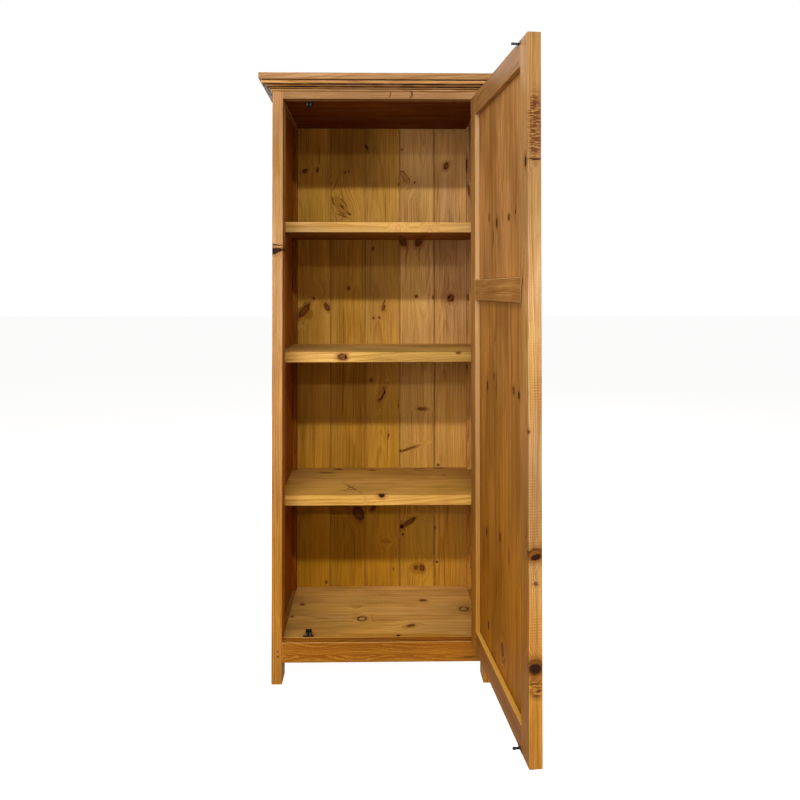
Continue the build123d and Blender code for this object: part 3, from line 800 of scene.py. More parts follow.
    def wood_colour(self, dark: Socket, blotch: Socket, pore: Socket) -> Socket:
        """Colour of the stained wood with its painted light and shade tints, before marks and wear.

        Args:
            dark: How late the wood grew, with its fibres.
            blotch: Slow clouds of stain.
            pore: Resin canals.

        Returns:
            The colour.
        """
        nodes, board, finish = self.nodes, self.board, self.board.finish
        lines = self.pattern(Grain.LINES, 2.0, 0.6)["Fac"]
        zones = self.pattern(Grain.ZONES, 1.0)["Fac"]
        patch = self.pattern(Grain.PATCHES, 1.0)["Color"]
        colour = nodes.mix(dark, finish.early, finish.late)
        cloud = nodes.math("MULTIPLY", nodes.band(blotch, 0.45, 0.75), finish.blotch)
        colour = nodes.mix(cloud, colour, finish.stain)
        wide = self.pattern(Grain.BANDS, 3.0, 0.6)["Fac"]
        colour = nodes.mix(nodes.band(wide, 0.46, 0.66, 0.0, finish.bands), colour, finish.stain)
        colour = nodes.mix(nodes.band(wide, 0.42, 0.28, 0.0, 0.5 * finish.bands), colour, finish.pale_wood)
        line = nodes.math("MULTIPLY", nodes.band(lines, 0.56, 0.68), nodes.band(zones, 0.38, 0.62, 0.25, 1.0))
        colour = nodes.mix(nodes.math("MULTIPLY", line, finish.streaks), colour, finish.stain)
        pale = nodes.math("MULTIPLY", nodes.band(lines, 0.44, 0.32), 0.22)
        colour = nodes.mix(pale, colour, finish.pale_wood)
        colour = nodes.mix(nodes.band(pore, 0.70, 0.76, 0.0, 0.35), colour, finish.stain)
        red, green, _ = nodes.add("SeparateColor", {"Color": patch}).outputs
        light = nodes.band(red, 0.3, 0.7, 1.0 - finish.patches, 1.0 + finish.patches)
        ochre = nodes.band(green, 0.35, 0.65, 0.88, 1.08)
        shade = nodes.add("CombineColor", {0: light, 1: light, 2: nodes.math("MULTIPLY", light, ochre)})
        tint = nodes.mix(1.0, shade.outputs["Color"], board.tint, "MULTIPLY")
        colour = nodes.mix(1.0, colour, tint, "MULTIPLY")
        # painted light on the faces that look up and away from the hinges
        if finish.painted_light:
            colour = self.painted_light(colour)
        # multiply in the painted light and shade tints
        return nodes.mix(1.0, colour, self.light_and_shade_tints(), "MULTIPLY")

    def light_and_shade_tints(self) -> Socket:
        """Painted light and shade as tints: warmer towards the foot, the free edge darker at the top, and the
        undersides darker.

        Returns:
            The tint.
        """
        nodes, finish = self.nodes, self.board.finish
        height = nodes.add("SeparateXYZ", {"Vector": self.object_place}).outputs["Z"]
        # painted light: warmer and darker towards the foot
        tint = nodes.mix(nodes.band(height, *AMBER_HEIGHTS), WHITE, finish.amber)
        # the free edge: painted shade at the top, then tints at the middle and foot
        if finish.edge_shade_tints is not None:
            top, middle, foot = finish.edge_shade_tints
            edge = nodes.mix(nodes.band(height, *UPPER_EDGE_TINT), top, middle)
            edge = nodes.mix(nodes.band(height, *LOWER_EDGE_TINT), edge, foot)
            tint = nodes.mix(nodes.band(self.facing(self.away), *FACING), tint, edge)
        # painted shade on the faces that look down
        if finish.underside is not None:
            tint = nodes.mix(nodes.band(self.facing((0.0, 0.0, -1.0)), *FACING), tint, finish.underside)
        return tint

    def facing(self, direction: object) -> Socket:
        """Cosine of the angle between a face and a direction."""
        return self.nodes.vector("DOT_PRODUCT", self.coordinates.outputs["Normal"], direction)

    def painted_light(self, colour: Socket) -> Socket:
        """Paint light on the faces that look up and, less, on those that look away from the hinges: a painted
        highlight where the light falls.

        Args:
            colour: The wood's colour.

        Returns:
            The new colour.
        """
        nodes, finish = self.nodes, self.board.finish
        up = nodes.band(self.facing((0.0, 0.0, 1.0)), *LIT_FACING)
        away = nodes.band(self.facing(self.away), *LIT_FACING, 0.0, AWAY_LIGHT)
        amount = nodes.math("MULTIPLY", nodes.math("MAXIMUM", up, away), finish.painted_light)
        return nodes.mix(amount, colour, finish.lit_colour)

    def build(self) -> bpy.types.Material:
        """Put the wood together.

        Returns:
            The finished material.
        """
        nodes, finish = self.nodes, self.board.finish
        late = self.rings()
        fibre = self.pattern(Grain.FIBRES, 3.0, 0.65)["Fac"]
        streak = self.pattern(Grain.STREAKS)["Fac"]
        blotch = self.pattern(Grain.CLOUDS, 3.0, 0.6)["Fac"]
        pore = self.pattern(Grain.PORES, 0.0)["Fac"]
        dark = nodes.math("MULTIPLY", late, finish.ring_contrast)
        dark = nodes.math("MULTIPLY", dark, nodes.band(streak, 0.3, 0.7, 0.5, 1.2))
        fibres = nodes.band(fibre, 0.38, 0.68)
        dark = nodes.math("MULTIPLY_ADD", fibres, finish.fibre_contrast, dark, clamp=True)
        colour = self.wood_colour(dark, blotch, pore)
        relief = nodes.math("MULTIPLY_ADD", late, 0.40, nodes.math("MULTIPLY", fibre, 0.55))
        relief = nodes.math("SUBTRACT", relief, nodes.band(pore, 0.68, 0.76, 0.0, 0.6))
        colour, relief = self.paint_marks(colour, relief)
        # dirt and painted shade along the joints and in the grooves
        dirt_and_shade = self.dirt_and_shade_mask()
        if dirt_and_shade is not None:
            colour = nodes.mix(dirt_and_shade, colour, finish.knot)
        # eased edges turn pale: wear, and painted highlight where they catch the light
        arris = nodes.add("Attribute", attribute_name="arris", attribute_type="GEOMETRY").outputs["Fac"]
        pale_wood = nodes.math("MULTIPLY", arris, nodes.band(blotch, 0.38, 0.62, 0.2 * finish.wear, finish.wear))
        colour = nodes.mix(pale_wood, colour, finish.pale_wood)
        rough = nodes.math("MULTIPLY_ADD", dark, -0.10, finish.roughness + 0.05)
        rough = nodes.math("MULTIPLY_ADD", blotch, 0.14, rough, clamp=True)
        return nodes.finish(colour, rough, relief, (0.35, 0.0004), {"Specular IOR Level": finish.specular})


def steel_material(name: str, finish: SteelFinish) -> bpy.types.Material:
    """Steel with scratches, worn spots and specks of rust.

    Args:
        name: Name of the material.
        finish: Its colours and wear.

    Returns:
        The material.
    """
    nodes = NodeTree(bpy.data.materials.new(name))
    place = nodes.add("TexCoord").outputs["Object"]
    cloud = nodes.noise(place, (260.0, 260.0, 260.0), detail=4.0, roughness=0.6).outputs["Fac"]
    speck = nodes.noise(place, (1500.0, 1500.0, 1500.0), detail=2.0).outputs["Fac"]
    scratch = nodes.noise(place, (300.0, 300.0, 3600.0), detail=2.0).outputs["Fac"]
    colour = nodes.mix(nodes.band(cloud, 0.56, 0.70, 0.0, finish.wear), finish.base, finish.worn)
    colour = nodes.mix(nodes.band(speck, 0.60, 0.70, 0.0, finish.rust_amount), colour, finish.rust)
    colour = nodes.mix(nodes.band(scratch, 0.64, 0.70, 0.0, finish.wear), colour, finish.worn)
    rough = nodes.math("MULTIPLY_ADD", cloud, 0.30, finish.roughness - 0.12, clamp=True)
    relief = nodes.math("MULTIPLY_ADD", speck, 0.5, scratch)
    return nodes.finish(colour, rough, relief, (0.25, 0.00008), {"Metallic": finish.metallic})


def nylon_material(name: str, finish: NylonFinish) -> bpy.types.Material:
    """Nylon with scuffs round the rim.

    Args:
        name: Name of the material.
        finish: Its colours.

    Returns:
        The material.
    """
    nodes = NodeTree(bpy.data.materials.new(name))
    place = nodes.add("TexCoord").outputs["Object"]
    cloud = nodes.noise(place, (500.0, 500.0, 500.0), detail=3.0).outputs["Fac"]
    scuff = nodes.noise(place, (400.0, 400.0, 3000.0), detail=2.0).outputs["Fac"]
    colour = nodes.mix(nodes.band(scuff, 0.55, 0.72, 0.0, 0.6), finish.base, finish.scuff)
    colour = nodes.mix(nodes.band(cloud, 0.4, 0.8, 0.0, 0.3), colour, finish.scuff)
    rough = nodes.math("MULTIPLY_ADD", cloud, 0.25, finish.roughness - 0.1, clamp=True)
    return nodes.finish(colour, rough, scuff, (0.2, 0.00006), {"Subsurface Weight": 0.05})


# ---------------------------------------------------------------- meshes
def body_of_node(node: str) -> str:
    """Name of the body that carries a solid."""
    return frame["nodes"][node]["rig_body"]


def slot_of_node(node: str) -> str:
    """Name of the record's material slot of a solid."""
    entries = frame["record"]["subparts"]
    return next(entry["material_slot"] for entry in entries if entry["node"] == node)


def new_piece(name: str, mesh: bmesh.types.BMesh, material: bpy.types.Material) -> bpy.types.Object:
    """Make an object from a finished bmesh, which is freed.

    Args:
        name: Name of the piece.
        mesh: Its shape, in place.
        material: Its finish.

    Returns:
        The object, linked to the scene.
    """
    data = bpy.data.meshes.new(name)
    mesh.to_mesh(data)
    mesh.free()
    data.materials.append(material)
    piece = bpy.data.objects.new(name, data)
    bpy.context.scene.collection.objects.link(piece)
    return piece


def stand_in(piece: bpy.types.Object, *nodes: str) -> bpy.types.Object:
    """Let a piece stand for solids: it rides on their body, and the solids are hidden.

    Args:
        piece: The dressed piece.
        *nodes: Names of the solids.

    Returns:
        The piece.
    """
    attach(piece, body_of_node(nodes[0]))
    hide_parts(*nodes)
    return piece


def solid_copy(node: str) -> bmesh.types.BMesh:
    """Copy a solid's mesh with its loose triangles joined into whole faces.

    Args:
        node: Name of the solid.

    Returns:
        The mesh.
    """
    mesh = bmesh.new()
    mesh.from_mesh(frame["nodes"][node].data)
    bmesh.ops.remove_doubles(mesh, verts=mesh.verts, dist=WELD)
    bmesh.ops.dissolve_limit(mesh, angle_limit=math.radians(WHOLE_ANGLE), verts=mesh.verts, edges=mesh.edges)
    return mesh


def eased_copy(node: str, width: float, shortest: float, segments: int = 2) -> bmesh.types.BMesh:
    """Copy a solid's mesh and round the sharp edges that hands and tools have met.

    Args:
        node: Name of the solid.
        width: How far the rounding reaches from an edge, in metres.
        shortest: Edges shorter than this stay sharp, such as those of screw holes.
        segments: Faces across the rounding.

    Returns:
        The mesh, with 1 in the face attribute "arris" on the rounded edges.
    """
    mesh = solid_copy(node)
    worn = mesh.faces.layers.float.new("arris")
    least, most = map(math.radians, CURVED_ANGLES)
    for face in mesh.faces:
        face.smooth = any(edge.is_manifold and least < edge.calc_face_angle() < most for edge in face.edges)
    sharp = [edge for edge in mesh.edges
             if edge.is_manifold and edge.is_convex and edge.calc_length() > shortest
             and edge.calc_face_angle() > math.radians(SHARP_ANGLE)]
    made = bmesh.ops.bevel(mesh, geom=sharp, offset=width, offset_type="OFFSET", segments=segments,
                           profile=0.5, affect="EDGES", clamp_overlap=True, material=-1)
    for face in made["faces"]:
        face.smooth = True
        face[worn] = 1.0
    return mesh


@dataclass
class Joinery:
    """Base of the wooden sub-assemblies: turns boards into dressed pieces.

    Attributes:
        axes: The directions that boards lie in.
        ease: How far the rounding of an edge reaches, in metres.
        shortest_edge: Edges shorter than this stay sharp.
        front: Where the front posts' faces stand, in mm behind the cabinet's origin.
    """

    axes: CabinetAxes
    ease: float = 0.0012
    shortest_edge: float = 0.012
    front: float = 84.9

    def boards(self) -> list[Board]:
        """The boards of this sub-assembly."""
        raise NotImplementedError

    def build(self) -> list[bpy.types.Object]:
        """Ease, dress and place every board.

        Returns:
            The pieces.
        """
        pieces = []
        for board in self.boards():
            material = PineMaterial(board, self.axes).build()
            mesh = eased_copy(board.node, self.ease, self.shortest_edge)
            piece = stand_in(new_piece(board.node + "_wood", mesh, material), board.node)
            LOG.info("%s: %d faces, %d marks", piece.name, len(piece.data.polygons), len(board.marks))
            pieces.append(piece)
        return pieces


# ---------------------------------------------------------------- the wooden sub-assemblies
@dataclass
class Carcass(Joinery):
    """Posts, rails and side panels.

    Attributes:
        pine: Finish of the posts and rails.
        panel_pine: Finish of the side panels, darker and redder as painted shade inside the cabinet.
        dark_post_pine: Finish of the rear left post, darkened as painted shade where the light does not reach
            it.
        foot_pine: Finish of the bottom rail, whose spring wood has darkened.
    """

    pine: PineFinish = PineFinish()
    panel_pine: PineFinish = PineFinish(
        early=(0.460, 0.185, 0.018), late=(0.250, 0.070, 0.005), specular=0.04)
    dark_post_pine: PineFinish = PineFinish(
        early=(0.320, 0.105, 0.008), late=(0.160, 0.044, 0.004), specular=0.04)
    foot_pine: PineFinish = PineFinish(
        early=(0.265, 0.094, 0.006), late=(0.600, 0.350, 0.110), streaks=0.4, ring_contrast=0.8,
        fibre_contrast=0.15)

    def posts(self) -> list[Board]:
        """The four posts, which run down as the legs.

        Returns:
            The boards.
        """
        left = face_marks(
            (-321, 1301, 45, 13, -6, BARK), (-328, 1298, 26, 19, -7, BARK), (-320, 1317, 32, 3.6, 2, BARK),
            (-315, 97, 4, 4, 0, BARK), (-314, 82, 4, 4, 0, BARK))
        right_rear = face_marks(
            (300, 1623, 9, 56, 3, BARK), (293, 1581, 7, 30, 0, BARK), (308, 1538, 8, 42, -6),
            (317, 215, 6, 44), (306, 1153, 7, 20), (300, 905, 5, 26))
        return [
            Board("front_post_left", Lie.UPRIGHT, self.pine, (30, -14), (0.006, 0.004), marks=left),
            Board("front_post_right", Lie.UPRIGHT, self.pine, (-22, 20)),
            Board("rear_post_left", Lie.UPRIGHT, self.dark_post_pine, (18, 24)),
            Board("rear_post_right", Lie.UPRIGHT, self.pine, (-16, 22), marks=right_rear),
        ]

    def rails(self) -> list[Board]:
        """Front and side rails.

        Returns:
            The boards.
        """
        top = face_marks((1780, 88, 22, 3.4, 10, BARK), (1767, 85, 13, 3, -25, BARK), (1773, 22, 16, 3, -14))
        bottom = face_marks((77, 260, 5, 34), (101, -203, 30, 110, 0, FLAME, 5.0),
                            (92, 60, 22, 150, 0, FLAME, 4.0))
        rails = [
            Board("front_rail_top", Lie.RAIL, self.pine, (6, 18), tint=(0.70, 0.69, 0.82), dirt_and_shade=(0.2, 0.3),
                  marks=top),
            Board("front_rail_bottom", Lie.RAIL, self.foot_pine, (-4, 22), dirt_and_shade=(0.2, 0.5), marks=bottom),
        ]
        for side, pith in (("left", (20, -30)), ("right", (-14, 34))):
            for level in ("bottom", "top"):
                name = f"side_rail_{level}_{side}"
                rails.append(Board(name, Lie.DEEP_RAIL, self.pine, pith, dirt_and_shade=(0.3, 0.4)))
        return rails

    def panels(self) -> list[Board]:
        """The panels in the sides.

        Returns:
            The boards.
        """
        left = face_marks((220, 1240, 14, 20), (400, 820, 9, 14), (330, 420, 16, 24, 20))
        right = face_marks((250, 1480, 12, 18), (360, 1010, 15, 22, -15), (230, 560, 8, 12),
                           (430, 300, 10, 16))
        # the panels' sides darken with dirt and painted shade where they sit in the frame
        return [
            Board("side_panel_" + side, Lie.SIDEWAYS, self.panel_pine, pith, dirt_and_shade=(0.8, 0.6), lap=(10, 10),
                  marks=marks)
            for side, pith, marks in (("left", (30, -70), left), ("right", (-50, 60), right))
        ]

    def boards(self) -> list[Board]:
        """Every board of the carcass."""
        return self.posts() + self.rails() + self.panels()


@dataclass
class BackBoards(Joinery):
    """Five tongued boards in the back.

    Attributes:
        pine: Their finish.
        seams: Where two boards meet, in mm across the cabinet.
    """

    pine: PineFinish = PineFinish(
        early=(0.520, 0.315, 0.070), late=(0.320, 0.155, 0.018), resin=(0.300, 0.120, 0.008),
        amber=(0.86, 0.75, 0.24), ring_contrast=0.50, streaks=0.85, blotch=0.25, wear=0.15, patches=0.13,
        specular=0.05)
    seams: tuple[float, ...] = (-310.0, -186.0, -62.0, 62.0, 186.0, 310.0)

    @staticmethod
    def marks() -> tuple[Mark, ...]:
        """The knots of all five boards, from the top down."""
        return face_marks(
            # highest compartment
            (-56, 1694, 7, 26, -26, BARK), (71, 1686, 6, 6), (-276, 1608, 11, 19, 62),
            (-232, 1610, 8, 13, 10), (-132, 1603, 7, 9), (-119, 1606, 5, 7), (231, 1627, 17, 25, 20),
            (-149, 1484, 40, 84, -38, LEAF), (-178, 1504, 4, 24, -12), (-143, 1479, 5, 22, -40, BARK),
            (-118, 1453, 6, 12, -55), (-140, 1446, 4, 30, -72), (117, 1566, 6, 7),
            (84, 1584, 22, 60, -30, LEAF), (60, 1560, 4, 10, 30),
            # second compartment
            (75, 1354, 24, 36, -35), (132, 1354, 22, 34, 25), (-33, 1328, 8, 11, 10), (-120, 1186, 8, 12),
            (-245, 1151, 8, 9), (-279, 1106, 20, 58, 38), (-282, 1108, 34, 78, 38, LEAF),
            (-262, 1094, 34, 40, 4, RESIN), (-197, 1120, 16, 30, -28), (6, 1118, 11, 20, 8),
            (8, 1136, 5, 16, 12), (-30, 1080, 8, 7), (-9, 1081, 6, 6), (123, 1157, 9, 10),
            (247, 1151, 24, 27), (241, 1154, 9, 10, 0, BARK), (253, 1144, 8, 9, 0, BARK),
            (184, 1153, 4, 14, 0, BARK),
            # third compartment
            (-39, 858, 9, 12), (3, 802, 6, 40, 22, BARK), (9, 818, 4, 20, -14, BARK),
            (-6, 790, 4, 16, 65, BARK), (-2, 806, 20, 60, 20, LEAF), (142, 754, 27, 9),
            (61, 765, 4, 12, 0, BARK), (97, 612, 7, 56, 72), (67, 605, 6, 7, 0, BARK), (23, 658, 4, 16, 8),
            (201, 553, 8, 8),
            # lowest compartment
            (-83, 382, 34, 52, -30), (-31, 400, 14, 20, 50), (96, 350, 15, 56, 58),
            (71, 335, 14, 17, 0, BARK), (74, 306, 6, 9, 0, BARK), (189, 331, 6, 7, 0, BARK),
            (14, 284, 36, 18, 10, LEAF), (122, 188, 15, 14), (143, 187, 16, 22, -20), (196, 208, 9, 8),
            (41, 184, 5, 8), (-198, 139, 8, 9), (126, 186, 60, 44, 0, RESIN),
        )

    def boards(self) -> list[Board]:
        """The five boards, each with the marks that lie between its seams.

        Returns:
            The boards.
        """
        # pith, lean, tint and seam darkening of each board; the seam darkening is dirt and painted shade, and
        # the bluer tint of the two right boards is partly their own tone and partly painted cool light
        timber = [
            ((-40, -60), (0.02, 0.01), (1.24, 1.16, 0.88), 0.20),
            ((25, -95), (-0.03, 0.02), (1.02, 0.94, 0.74), 0.25),
            ((-10, -75), (0.02, 0.03), (1.05, 0.98, 0.92), 0.30),
            ((35, -90), (0.01, -0.02), (1.17, 1.15, 1.75), 0.50),
            ((-20, -80), (-0.02, 0.03), (1.21, 1.16, 2.00), 0.60),
        ]
        boards = []
        for number, (pith, lean, tint, dirt_and_shade) in enumerate(timber, start=1):
            left, right = self.seams[number - 1], self.seams[number]
            own = tuple(mark for mark in self.marks() if left < mark.place[0] <= right)
            boards.append(Board(f"back_board_{number}", Lie.UPRIGHT, self.pine, pith, lean, tint,
                                dirt_and_shade=(dirt_and_shade, 0.3), lap=(3, 0), marks=own))
        return boards


@dataclass
class Shelving(Joinery):
    """Floor, three shelves and ceiling, with their grain across the cabinet.

    Attributes:
        pine: Finish of the floor and the shelves, with painted shade on their undersides.
        dark_pine: Finish of the ceiling, nearly black as painted shade.
    """

    pine: PineFinish = PineFinish(
        early=(0.650, 0.405, 0.135), late=(0.400, 0.185, 0.032), amber=(0.95, 0.84, 0.46),
        underside=(0.42, 0.27, 0.10), ring_contrast=0.75, fibre_contrast=0.35, streaks=0.55, patches=0.20)
    # the ceiling's near-black is painted shade
    dark_pine: PineFinish = PineFinish(
        early=(0.125, 0.024, 0.001), late=(0.072, 0.012, 0.001), specular=0.03)

    def top_marks(self, *rows: tuple) -> tuple[Mark, ...]:
        """Marks on the upper face of a shelf.

        Args:
            *rows: For each mark its place across the cabinet and behind the posts' faces, its full size
                from front to back and across the cabinet, all in mm, then its turn and kind if it has one.

        Returns:
            The marks.
        """
        return face_marks(*((self.front + depth, x, *rest) for x, depth, *rest in rows))

    def edge(self, x: float, z: float, half: Place, kind: MarkKind = SOUND) -> Mark:
        """A mark on a shelf's front edge."""
        return edge_mark((self.front + 70.0, z, x), half, kind=kind)

    def boards(self) -> list[Board]:
        """Every flat board.

        Returns:
            The boards.
        """
        lower = self.top_marks(
            (-194, 352, 13, 46), (-156, 402, 16, 24), (-34, 386, 15, 20), (-100, 160, 76, 5, 27),
            (-104, 132, 5, 48, 24), (-104, 158, 30, 4, -30))
        lower += (self.edge(-3, 545, (14, 8, 10), BARK),)
        lower += self.top_marks(
            (130, 402, 6, 42, 24), (134, 384, 6, 38, -22), (206, 416, 14, 30), (212, 312, 10, 14))
        middle = self.top_marks((104, 264, 12, 9), (137, 308, 9, 8)) + (
            self.edge(-126, 973, (14, 10, 14)), self.edge(-115, 973, (10, 8, 4), BARK),
            self.edge(236, 986, (9, 4, 7)))
        upper = self.top_marks((70, 320, 210, 22, -5), (134, 320, 210, 20, 3), (-180, 190, 12, 9))
        floor = self.top_marks(
            (-268, 271, 14, 13), (-66, 160, 32, 29, 0, RINGED), (-88, 250, 26, 30, 0, LEAF),
            (140, 297, 14, 22), (270, 228, 34, 30, 0, RINGED), (90, 110, 14, 24, 25),
            (82, 104, 26, 40, 25, LEAF), (48, 42, 10, 12, 0, BARK), (-292, 180, 10, 8),
            (70, 40, 30, 420, -1.5, RESIN), (-180, 36, 16, 160, 1, RESIN))
        ceiling = self.top_marks((248, 256, 18, 14, 0, BARK), (-90, 180, 9, 8), (219, 42, 12, 20, 0, BARK))
        return [
            Board("floor_board", Lie.FLAT, self.pine, (-60, -70), (0.02, 0.02), (1.10, 1.14, 1.55),
                  dirt_and_shade=(0.35, 0.0), marks=floor),
            Board("shelf_lower", Lie.FLAT, self.pine, (40, -60), (0.02, 0.01), marks=lower),
            Board("shelf_middle", Lie.FLAT, self.pine, (-30, -58), (0.03, 0.02), (1.0, 1.0, 0.92),
                  marks=middle),
            Board("shelf_upper", Lie.FLAT, self.pine, (50, -62), (0.02, 0.02), (0.95, 0.93, 0.88),
                  marks=upper),
            Board("ceiling_board", Lie.FLAT, self.dark_pine, (-30, -60), (0.02, 0.02), marks=ceiling),
        ]


@dataclass
class CrownAndTop(Joinery):
    """The mitred crown moulding and the top board over it.

    Attributes:
        grooves: Heights of the quirks between the beads, in mm.
        pine: Finish of the top board.
        bead_pine: Finish of the moulding, whose eased beads turn strongly pale as wear and painted highlight.
    """

    ease: float = 0.0009
    shortest_edge: float = 0.004
    grooves: tuple[float, ...] = (1787.6, 1792.7, 1797.7, 1808.6)
    pine: PineFinish = PineFinish(
        early=(0.475, 0.275, 0.118), late=(0.280, 0.110, 0.028), stain=(0.130, 0.045, 0.010))
    bead_pine: PineFinish = PineFinish(
        early=(0.640, 0.350, 0.130), late=(0.330, 0.135, 0.030), knot=(0.035, 0.010, 0.003), wear=0.8)

    def boards(self) -> list[Board]:
        """Three lengths of moulding and the top board."""
        top = face_marks((self.front + 120, -150, 16, 22), (self.front + 300, 210, 12, 16),
                         (self.front + 330, -60, 20, 26, 20))
        return [
            Board("crown_front", Lie.RAIL, self.bead_pine, (10, 40), (0.01, 0.01), grooves=self.grooves),
            Board("crown_left", Lie.DEEP_RAIL, self.bead_pine, (10, -40), grooves=self.grooves),
            Board("crown_right", Lie.DEEP_RAIL, self.bead_pine, (12, 44), grooves=self.grooves),
            Board("top_board", Lie.FLAT, self.pine, (40, -50), (0.04, 0.02), marks=top),
        ]


@dataclass
class InsetDoor(Joinery):
    """Stiles, rails and raised panels of the door.

    Attributes:
        edge_pine: Finish of the free stile, whose sawn edge is darker at the top as painted shade.
        pine: Finish of the hinge stile and the rails, with painted light on the faces that look up and away
            from the hinges.
        panel_pine: Finish of the panels.
        edge: Where the free stile's sawn edge is, in mm from the pin.
        depth: The middle of the door's thickness, in mm.
    """

    edge_pine: PineFinish = PineFinish(
        early=(0.590, 0.330, 0.112), amber=(0.66, 0.47, 0.06), fibre_contrast=0.5, patches=0.15,
        edge_shade_tints=((0.72, 0.69, 0.68), (1.0, 1.12, 1.35), (1.14, 0.98, 0.48)))
    pine: PineFinish = PineFinish(
        early=(0.520, 0.270, 0.090), late=(0.300, 0.115, 0.022), amber=(0.74, 0.56, 0.17),
        fibre_contrast=0.5, streaks=0.75, patches=0.15, bands=0.45, painted_light=0.95)
    panel_pine: PineFinish = PineFinish(
        early=(0.600, 0.315, 0.098), late=(0.270, 0.098, 0.014), amber=(0.75, 0.58, 0.08),
        fibre_contrast=0.5, streaks=0.7, blotch=0.55, patches=0.16, bands=0.5)
    edge: float = 600.0
    depth: float = -20.0

    def edge_checks(self) -> tuple[Mark, ...]:
        """Knots and tool marks on the free stile's sawn edge, each at a height along it.

        Returns:
            The marks.
        """
        rows = (
            # through, height, half sizes, turn, kind, rings
            (0, 900, (16, 24, 740), 0, RIPPLED, 0.0),
            (0, 1556, (16, 21, 92), 0, CHECKED, 0.0),
            (0, 1512, (16, 21, 46), 0, CHECKED, 0.0),
            (0, 1473, (16, 15, 2.2), 0, BARK, 1.0),
            (-2, 598, (18, 19, 13), 12, SOUND, 2.0),
            (0, 592, (14, 12, 7), 20, BARK, 1.0),
            (-2, 350, (18, 19, 18), 10, SOUND, 2.4),
            (-2, 347, (14, 15, 12), 0, BARK, 1.0),
            (0, 306, (14, 22, 34), 0, CHECKED, 0.0),
            (0, 533, (8, 4, 4), 0, SOUND, 1.0),
            (-18, 868, (8, 4, 6), 0, SOUND, 1.0),
        )
        return tuple(edge_mark((self.edge, self.depth + through, height), *rest)
                     for through, height, *rest in rows)

    def stiles(self) -> list[Board]:
        """The two upright sides."""
        free = self.edge_checks() + (face_mark(550, 1181, 5, 84, 13, BARK),
                                     edge_mark((582, -36, 1471), (7, 10, 13), kind=BARK))
        return [
            Board("door_stile_free", Lie.DOOR_UPRIGHT, self.edge_pine, (18, 16), (0.004, 0.006), marks=free),
            Board("door_stile_hinge", Lie.DOOR_UPRIGHT, self.pine, (-14, 20), tint=(0.9, 0.9, 0.9)),
        ]

    def rails(self) -> list[Board]:
        """The three rails."""
        return [
            Board("door_rail_bottom", Lie.DOOR_RAIL, self.pine, (6, 20), tint=(0.92, 0.90, 0.84)),
            Board("door_rail_middle", Lie.DOOR_RAIL, self.pine, (-8, 22), tint=(0.96, 0.94, 0.92)),
            Board("door_rail_top", Lie.DOOR_RAIL, self.pine, (10, 20)),
        ]

    def panels(self) -> list[Board]:
        """The two panels, which float in the grooves.

        Returns:
            The boards.
        """
        upper = face_marks(
            (268, 1359, 15, 30, 0, BARK), (181, 1382, 12, 18), (391, 1364, 20, 14),
            (452, 1371, 7, 13, 0, BARK), (230, 1320, 5, 40, 4))
        lower = face_marks(
            (161, 913, 14, 30, 0, BARK), (235, 949, 12, 18), (264, 925, 5, 60, 3), (430, 936, 18, 18),
            (478, 931, 14, 20, 0, BARK), (147, 503, 14, 28, 0, BARK), (296, 537, 14, 24, 0, BARK),
            (384, 515, 8, 34), (167, 251, 14, 24, 0, BARK), (210, 278, 9, 26), (319, 259, 60, 74, 0, LEAF),
            (319, 255, 26, 34), (400, 720, 90, 170, 0, FLAME, 3.0))
        # the wide dark band along the panels' sides is painted shade where they sit in the grooves, with some
        # dirt
        return [
            Board("door_panel_" + place, Lie.DOOR_UPRIGHT, self.panel_pine, pith, lean, tint,
                  dirt_and_shade=(0.9, 0.6), lap=(10, 10), reach=13.0, marks=marks)
            for place, pith, lean, tint, marks in (
                ("upper", (30, 70), (0.02, 0.02), (1.08, 1.03, 1.02), upper),
                ("lower", (-40, 60), (0.03, 0.02), (0.98, 0.92, 0.74), lower))
        ]

    def boards(self) -> list[Board]:
        """Every board of the door."""
        return self.stiles() + self.rails() + self.panels()


